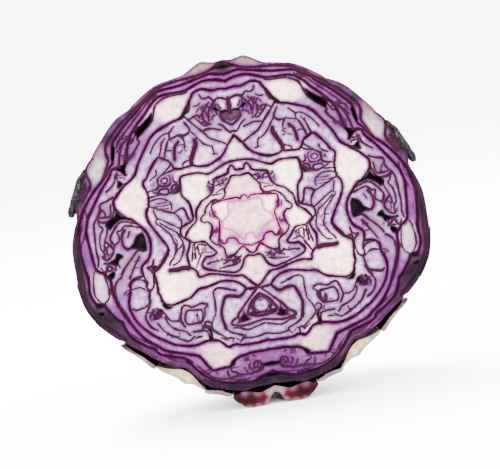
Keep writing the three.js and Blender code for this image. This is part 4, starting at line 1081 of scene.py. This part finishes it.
def domeLeaf(name, leaf):
    look = domeLook
    across, along, seed = look["across"], look["along"], leaf["seed"]
    s = np.linspace(-1, 1, across)[:, None] * np.ones((1, along))
    # more points near the cut, where the dome turns fast
    t = np.ones((across, 1)) * (np.linspace(0, 1, along) ** 1.25)[None, :]
    half = np.radians(leaf["cutHalf"] + (leaf["stemHalf"] - leaf["cutHalf"]) * t ** 0.8)
    wave = softNoise(t * 60 + seed * 7, s * 0 + seed, 9, seed) - 0.5
    half = half * (1 + 0.10 * wave * ramp(t, 0.02, 0.3))
    turn = np.radians(leaf["turn"] + leaf["lean"] * np.sin(t * math.pi)) + s * half
    flat = domePoint(turn, t, 0.0)
    acrossMm = s * half * np.hypot(flat[..., 0], flat[..., 2] + head["stemDrop"] * flat[..., 1])
    step = np.linalg.norm(np.diff(flat, axis=1), axis=-1)
    alongMm = np.concatenate([np.zeros((across, 1)), np.cumsum(step, axis=1)], axis=1)
    fromStem = alongMm[:, -1:] - alongMm
    side = np.abs(acrossMm)

    # midrib, side veins that curve forward from it, and twigs off those
    rib = np.exp(-(acrossMm / (look["ribWidth"][0] + look["ribWidth"][1] * t ** 1.6)) ** 2)
    ribHigh = rib * (look["ribHeight"][0] + look["ribHeight"][1] * t ** 1.3)
    wander = 2.4 * (softNoise(acrossMm, fromStem, 11, seed + 5) - 0.5)
    course = fromStem - look["veinSlant"][0] * side - look["veinSlant"][1] * side ** 2
    course = course + wander + 3.1 * np.sign(s)
    veinNear = nearestRepeat(course, look["veinSpacing"]) * 0.80
    taper = np.clip(1.25 - side / 62, 0.15, 1)
    vein = np.exp(-(veinNear / look["veinWidth"]) ** 2) * taper
    vein = vein * ramp(side, 0.5, 4) * ramp(fromStem, 6, 24)
    twigNear = nearestRepeat(course + side * 1.5, look["twigSpacing"]) * 0.5
    twigs = np.exp(-(twigNear / look["twigWidth"]) ** 2) * ramp(side, 6, 16) * ramp(fromStem, 14, 34)

    edge = ramp(np.abs(s), 0.80, 1.0)
    swell = look["swell"] * (softNoise(turn * 60, fromStem, look["swellSize"], seed + 9) - 0.5)
    quilt = look["quilt"] * (softNoise(acrossMm, fromStem, look["quiltSize"], seed + 3) - 0.5)
    settle = ramp(t, 0.0, 0.30)                     # flush with the slice at the cut
    layer = leaf["layer"] * look["layerStep"] * ramp(t, 0.02, 0.5)
    tuck = 0.1 + (2 - leaf["layer"]) * 0.25 * (1 - settle)
    lift = layer - tuck + settle * (
        ribHigh + look["veinHeight"] * vein + look["twigHeight"] * twigs + swell + quilt
        + look["edgeCurl"] * edge * (0.4 + wave))
    sheet = [domePoint(turn, t, lift - down).reshape(-1, 3) for down in (0.0, look["thickness"])]
    points = toFrame(*np.vstack(sheet).T)

    veinMm = np.minimum(veinNear + 6 * (1 - ramp(side, 0.5, 4)) + 4 * (1 - taper), 7)
    veinMm = np.minimum(veinMm, twigNear * 1.8 + 1.0 + 6 * (1 - ramp(side, 6, 16)))
    ribShade = np.clip(rib * (0.35 + 0.6 * t), 0, 1)
    if name == "top_wrapper":                       # its cream midrib is thick where the knife met it
        ribShade = np.maximum(ribShade, (1 - ramp(t, 0.0, 0.2)) * (1 - ramp(np.abs(s), 0.55, 0.8)))
    data = {"veinGap": np.tile(veinMm.ravel(), 2), "ribShade": np.tile(ribShade.ravel(), 2)}
    skin = leafSkinCream if name == "top_wrapper" else leafSkinWaxy
    piece = makeObject(name + "_leaf", points, sheetFaces(across, along), data, [skin])
    declare(piece, slotOf[name.removesuffix("_r").removesuffix("_l")], name)


for name, leaf in domeLeaves.items():
    domeLeaf(name, leaf)
print("outer leaves", len(domeLeaves))

# the loose leaf under the head, and the low folded rib the half stands on, as the knife left them
wallRows = (0, 1.5, 4, 8, 14, 21, 29, 38, 47, 56, 64, 71, 76)      # mm behind the cut
underPieces = {
    "under_leaf_rib": {
        "slot": "cream_rib", "skin": leafRibFibrous,
        "outline": [
            (31.6, -73.2), (33.3, -71.2), (34.6, -68.8), (36.2, -66.4), (38, -64.6), (40.6, -63),
            (45, -62.2), (48.2, -61.1), (51.8, -59.7), (50.4, -61.6), (48.2, -63.3), (45, -65.4),
            (42.4, -67.4), (40, -69.8), (36.5, -70.6), (33.6, -72.8), (32, -74)],
        "colours": [
            (33, -72, 4, "#e9e0cb"), (38, -67, 5, "#ebe4d2"), (44, -63.5, 5, "#e6dfc9"),
            (50, -60.6, 3, "#cdbfae"), (31.8, -73.4, 1.6, "#a58d86"), (41, -69.4, 1.5, "#b8a79a"),
            (36, -69, 1.2, "#c4b482"), (43, -65, 1.1, "#cfc190"), (39.4, -65.4, 1, "#bfae7c"),
            (47, -62.8, 1, "#b39d78"), (34.4, -71, 0.9, "#b8a474"), (41, -67.4, 0.8, "#a8946c")]},
    "under_leaf_blade": {
        "slot": "outer_leaf", "skin": leafUndersideDull,
        "outline": [
            (19.8, -78.6), (20.1, -77.6), (22.4, -76.7), (23.6, -75.8), (27.4, -74.8), (30.4, -74.4),
            (31.6, -73.2), (32, -74.4), (30.8, -75.9), (27.6, -76.6), (24.2, -77.6), (22.6, -78.4)],
        "colours": [
            (21, -77.6, 2, "#c7b4b4"), (25, -76, 2, "#b3a0a2"), (30, -74.8, 2, "#c8bcae")]},
    "under_leaf_edge": {
        "slot": "outer_leaf", "skin": leafUndersideDull,
        "outline": [
            (51.8, -59.7), (54, -57.4), (56.6, -54.8), (59.4, -52.4), (61.6, -50.4), (64.4, -47.6),
            (66, -47.8), (63.6, -50.6), (61, -52.6), (59, -54.6), (56.2, -57.4), (53, -60.8)],
        "colours": [
            (53, -58.4, 2, "#b0a08c"), (57, -54.4, 2, "#cfc4b2"), (61, -51, 2, "#8e8074"),
            (65, -47.4, 2, "#6a5c58")]},
    "keel_rib": {
        "slot": "cream_rib", "skin": leafUndersideDull,
        "outline": [
            (0, -77.1), (3.9, -78.4), (6.8, -79.3), (9.8, -78.6), (11.8, -78), (15.1, -77.7),
            (16.8, -78.4), (18.6, -78.5), (19.7, -79.5), (18.6, -81.2), (16.4, -83.2), (14.7, -84.5),
            (12.7, -85.2), (10.6, -85.6), (7.7, -85.4), (5.1, -84.8), (2.8, -83.3), (2.4, -81.8),
            (1.2, -80.4), (0, -79.8)],
        "colours": [
            (3, -78, 2, "#c9b3bd"), (8, -79.2, 1.7, "#c9adc2"), (14, -78.6, 1.7, "#b48fae"),
            (18.6, -80, 1.6, "#7c4a5e"), (6, -81.8, 3.2, "#7a1c3c"), (10, -82.2, 3.4, "#5e0e2c"),
            (14, -81.8, 3.6, "#540c28"), (17.4, -81, 3.2, "#4e0c26"), (2.5, -80.4, 1.4, "#e8d2d2"),
            (4.2, -84.4, 1.3, "#f1dcd9"), (8.5, -86, 1.7, "#f4e2dc"), (13, -86, 1.7, "#f0d9d5"),
            (16.8, -84.2, 1.3, "#e8c8c8")]},
}
underLook = {
    "base": 0.35,           # mm behind the knife's plane
    "lip": 0.8, "lipWidth": 0.5,        # mm, how far its edge falls back
    "roll": 0.15, "rollSize": 2.0,      # mm
    "stain": 0.75,          # how much of its own tint shows over the rib's cream
}
footLook = {
    "flatDepth": 54.0, "backDepth": 78.0,   # mm of rib that lies on the table, and to its end
    "foot": -85.6,          # mm, table under the middle of the core
    "headBottom": -76.4,    # mm, underside of the head at the cut
    "narrow": 0.86,         # width left at the back
    "spread": (0.30, 0.80), # share of its height over which the foot spreads flat
    "spreadBy": 14.0,       # mm behind the cut, where it has
    "spreadWidth": 15,      # mm each side of the middle
}


def underFields(outline, colours):                  # relief and tints for one loose piece
    edge = ringDistance(outline, reach=4.0)
    relief = underLook["base"] + underLook["lip"] * np.exp(-edge / underLook["lipWidth"])
    relief = relief + underLook["roll"] * softNoise(meshX, meshZ, underLook["rollSize"], 21)
    tint = layTints(np.zeros(meshX.shape + (3,)), np.full(meshX.shape, 1e-6), colours, floor=1e-5)
    none = np.zeros(meshX.shape)
    return relief, {
        "fleshTint": tint, "seamGap": np.maximum(edge, 0.4), "seamDark": none + 0.3, "paintedHollowShade": none,
        "wine": none, "rosy": none, "veinGap": none + 7.0, "skinTint": tint, "ribShade": none,
        "skinAmount": none + underLook["stain"]}


def keelBack(x, z, deep):                           # the low rib keeps its foot on the table
    bottom, foot, back = footLook["headBottom"], footLook["foot"], footLook["backDepth"]
    share = np.clip(deep / abs(bottom), 0, 0.97)
    keep = (1 - share ** head["domePower"]) ** (1 / head["domePower"])
    topNow = bottom * keep - head["stemDrop"] * deep
    rise = ramp(deep, footLook["flatDepth"], back)
    footNow = foot + (topNow - 12 - foot) * rise
    low = np.clip((bottom - z) / (bottom - foot), -0.1, 1.0)
    start, full = footLook["spread"]
    settled = np.clip((low - start) / (full - start), 0, 1) * ramp(deep, 2.0, footLook["spreadBy"])
    low = low + (1 - low) * settled * (np.abs(x) < footLook["spreadWidth"])
    zNow = topNow + (footNow - topNow) * low
    return x * (1 - (1 - footLook["narrow"]) * ramp(deep, 20, back)), deep, np.maximum(zNow, foot)


for name, look in underPieces.items():
    folded = name == "keel_rib"
    outline = smoothLine(look["outline"], closed=not folded, steps=3)
    if folded:
        outline = mirrored(outline)
    relief, fields = underFields(outline, look["colours"])
    cells = inside(cellX, cellZ, outline)
    for side in (("both",) if folded else ("r", "l")):
        node = name if folded else name + "_" + side
        piece = slicePiece(node + "_piece", cells, cells, outline, side, fields, relief, wallRows,
                           [leafFleshSliced, look["skin"]], keelBack if folded else domeBack)
        declare(piece, look["slot"], node)
print("under leaf done")

# a dried, crumpled scrap of the outer leaf on each side
flapLook = {
    "path": [(68.2, 33), (70.6, 29.4), (72.2, 26), (73.8, 22.4), (75.6, 18.8), (77.4, 15.4), (78.2, 13)],
    "rows": 26,
    "width": 5.0,           # mm
    "front": -0.7,          # mm, its front edge, before the cut
    "depth": 3.4,           # mm from its front to its tucked-in edge
    "fold": 2.0,            # mm between wrinkles
    "foldHeight": 1.5,      # mm
    "thickness": 0.9,       # mm
}


def makeFlap(side):
    look = flapLook
    path = smoothLine(look["path"], steps=16)
    rows, count = look["rows"], len(path)
    along = np.gradient(path, axis=0)
    along /= np.linalg.norm(along, axis=1)[:, None]
    outward = np.stack([-along[:, 1], along[:, 0]], axis=1)
    u = np.linspace(0, 1, count)[:, None] * np.ones((1, rows))
    v = np.ones((count, 1)) * np.linspace(-0.5, 0.5, rows)[None, :]
    ragged = 0.75 + 0.5 * softNoise(u * 40, v * 0, 3.4, 71)
    wide = look["width"] * ragged * np.sin(math.pi * (0.08 + 0.84 * u)) ** 0.6
    crease = softNoise(u * 26, v * 9, look["fold"], 72)
    x = path[:, :1] + outward[:, :1] * v * wide
    z = path[:, 1:] + outward[:, 1:] * v * wide + 0.8 * (softNoise(u * 26, v * 9, 3.1, 73) - 0.5)
    deep = look["front"] + look["foldHeight"] * crease + look["depth"] * (0.5 - v) ** 2
    # lighter lines along the wrinkles, fed to the rib colour: painted highlight on the ridges
    paintedRidgeHighlight = 1 - ramp(np.abs(crease - 0.5), 0.03, 0.12)
    points = np.vstack([toFrame(x.ravel(), deep.ravel() + back, z.ravel())
                        for back in (0.0, look["thickness"])])
    faces = sheetFaces(count, rows)
    if side == "l":
        points, faces = points * [-1, 1, 1], faces[:, ::-1]
    data = {"veinGap": np.full(len(points), 7.0), "ribShade": np.tile(0.5 * paintedRidgeHighlight.ravel(), 2)}
    piece = makeObject("side_flap_" + side, points, faces, data, [leafScrapDried])
    declare(piece, "outer_leaf", "side_wrapper_" + side)


for side in ("r", "l"):
    makeFlap(side)
print("scraps done")

# the stem: a stub left standing, cut off dry, with scars where older leaves broke away
stubLook = {
    "start": 74.0, "end": 87.4,     # mm behind the cut
    "radius": 16.4, "flare": 1.0,   # mm
    "around": 160, "rows": 44, "endRows": 26,   # points
    "scars": [(20, 79.5, 6.5), (118, 80.5, 7.0), (206, 79.0, 6.0), (292, 80.0, 6.8)],  # turn, depth, width
    "side": "#a99a7a", "scar": "#c9bb9a", "sawn": "#ddd0ae", "ring": "#b9a67e",
}


def makeStub():
    look = stubLook
    around, rows, endRows, end = look["around"], look["rows"], look["endRows"], look["end"]
    turn = np.linspace(0, 2 * math.pi, around, endpoint=False)[:, None] * np.ones((1, rows))
    deep = np.linspace(look["start"], end - 1.0, rows)[None, :] * np.ones((around, 1))
    radius = look["radius"] + look["flare"] * ramp(deep, 78, 85) + 0.35 * np.sin(turn * 5 + 0.6)
    radius = radius + 0.5 * (softNoise(turn * 16, deep, 2.2, 31) - 0.5)
    tone = np.zeros(turn.shape)
    for degrees, at, wide in look["scars"]:
        sideways = (np.degrees(turn) - degrees + 180) % 360 - 180
        far = np.hypot(np.radians(sideways) * look["radius"] / wide, (deep - at) / 2.4)
        radius = radius + 0.8 * np.exp(-((far - 1) / 0.22) ** 2) - 0.5 * ramp(far, 1.0, 0.7)
        tone = np.maximum(tone, ramp(far, 1.1, 0.8))
    radius = radius - 0.7 * ramp(deep, end - 2.6, end - 1.0)

    # the sawn end, rows going in to the middle
    inward = np.linspace(1, 0.0, endRows + 1)[1:]
    capRadius = radius[:, -1:] * inward[None, :]
    rough = softNoise(capRadius * np.sin(turn[:, :1]), capRadius * np.cos(turn[:, :1]), 2.0, 41) - 0.5
    capDeep = np.minimum(end - 0.35 - 0.5 * (1 - inward[None, :]) + 0.35 * rough, end)
    radius = np.hstack([radius, np.maximum(capRadius, 0.02)])
    deep = np.hstack([deep, capDeep])
    x = radius * np.sin(turn[:, :1])
    z = radius * np.cos(turn[:, :1]) - head["stemDrop"] * deep
    points = toFrame(x.ravel(), deep.ravel(), z.ravel())
    index = np.arange(radius.size).reshape(radius.shape)
    after = np.roll(index, -1, axis=0)
    faces = np.stack([index[:, :-1], index[:, 1:], after[:, 1:], after[:, :-1]], axis=-1).reshape(-1, 4)

    # weathered side, pale woody end with a darker ring
    sideTint, scarTint, endTint, ringTint = [
        inStudio(linear(look[key])) for key in ("side", "scar", "sawn", "ring")]
    tint = np.zeros(radius.shape + (3,))
    tint[:, :rows] = sideTint + (scarTint - sideTint) * tone[..., None]
    ringed = np.exp(-((inward - 0.72) / 0.07) ** 2)[None, :, None]
    tint[:, rows:] = endTint * (1 - ringed) + ringTint * ringed
    data = {"skinTint": tint.reshape(-1, 3), "skinAmount": np.full(len(points), 0.7)}
    piece = makeObject("stem_stub_piece", points, faces, data, [stemCutDry])
    declare(piece, "stem_cut", "stem_stub")


makeStub()
print("stem done")

# a pale table top, soft light from all round, and the camera, turned as the half leans
stageLook = {
    "floor": "#fcfcfb", "floorSize": 6.0,       # m
    "world": "#ffffff", "worldStrength": 8.5,
    # place in m, size in m, power in W
    "lights": {"softTop": ((-0.3, 0.35, 1.1), 0.7, 110), "softFront": ((0.5, -1.2, 0.55), 1.0, 22),
               "softBack": ((0.3, 1.0, 0.8), 0.9, 14)},
    "lightsAim": (0, 0, 0.08),      # m
    "aimBelowCore": 0.0075, # m
    "distance": 1.05, "lift": 5.0,  # m and degrees
    "roll": 9.33,           # degrees
    "viewWidth": 0.225,     # m seen across the cut face
    "sensor": 36.0,         # mm
}


def makeFloor():
    bpy.ops.mesh.primitive_plane_add(size=stageLook["floorSize"], location=(0, 0, 0))
    floor = bpy.context.object
    floor.name = "tableTop"
    material, _ = newMaterial("tableTopMatt")
    setSurface(material, {"Base Color": stageLook["floor"], "Roughness": 0.7})
    floor.data.materials.append(material)
    floor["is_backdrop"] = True


def areaLight(name, spot, size, power):
    light = bpy.data.lights.new(name, "AREA")
    light.shape = "DISK"
    light.size = size
    light.energy = power
    lamp = bpy.data.objects.new(name, light)
    lamp.location = spot
    aim = Vector(stageLook["lightsAim"]) - Vector(spot)
    lamp.rotation_euler = aim.to_track_quat("-Z", "Y").to_euler()
    bpy.context.scene.collection.objects.link(lamp)


def makeWorld():
    world = bpy.data.worlds.new("studio")
    world.use_nodes = True
    backdrop = world.node_tree.nodes["Background"]
    backdrop.inputs["Color"].default_value = srgb(stageLook["world"])
    backdrop.inputs["Strength"].default_value = stageLook["worldStrength"]
    bpy.context.scene.world = world


def makeCamera():
    look = stageLook
    camera = bpy.data.objects.new("camera", bpy.data.cameras.new("camera"))
    bpy.context.scene.collection.objects.link(camera)
    bpy.context.scene.camera = camera
    aim = Vector((0.0, cutY, head["coreHeight"] * mm - look["aimBelowCore"]))
    lift = math.radians(look["lift"])
    away = Vector((0, -math.cos(lift), math.sin(lift))) * look["distance"]
    camera.location = aim + away
    facing = (-away).to_track_quat("-Z", "Y").to_matrix().to_4x4()
    turned = facing @ Matrix.Rotation(math.radians(-look["roll"]), 4, "Z")
    camera.rotation_euler = turned.to_euler()
    camera.data.sensor_width = look["sensor"]
    camera.data.lens = look["sensor"] * look["distance"] / look["viewWidth"]


makeFloor()
for name, (spot, size, power) in stageLook["lights"].items():
    areaLight(name, spot, size, power)
makeWorld()
makeCamera()

low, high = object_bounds()
print("size", [round(v, 4) for v in low], [round(v, 4) for v in high])
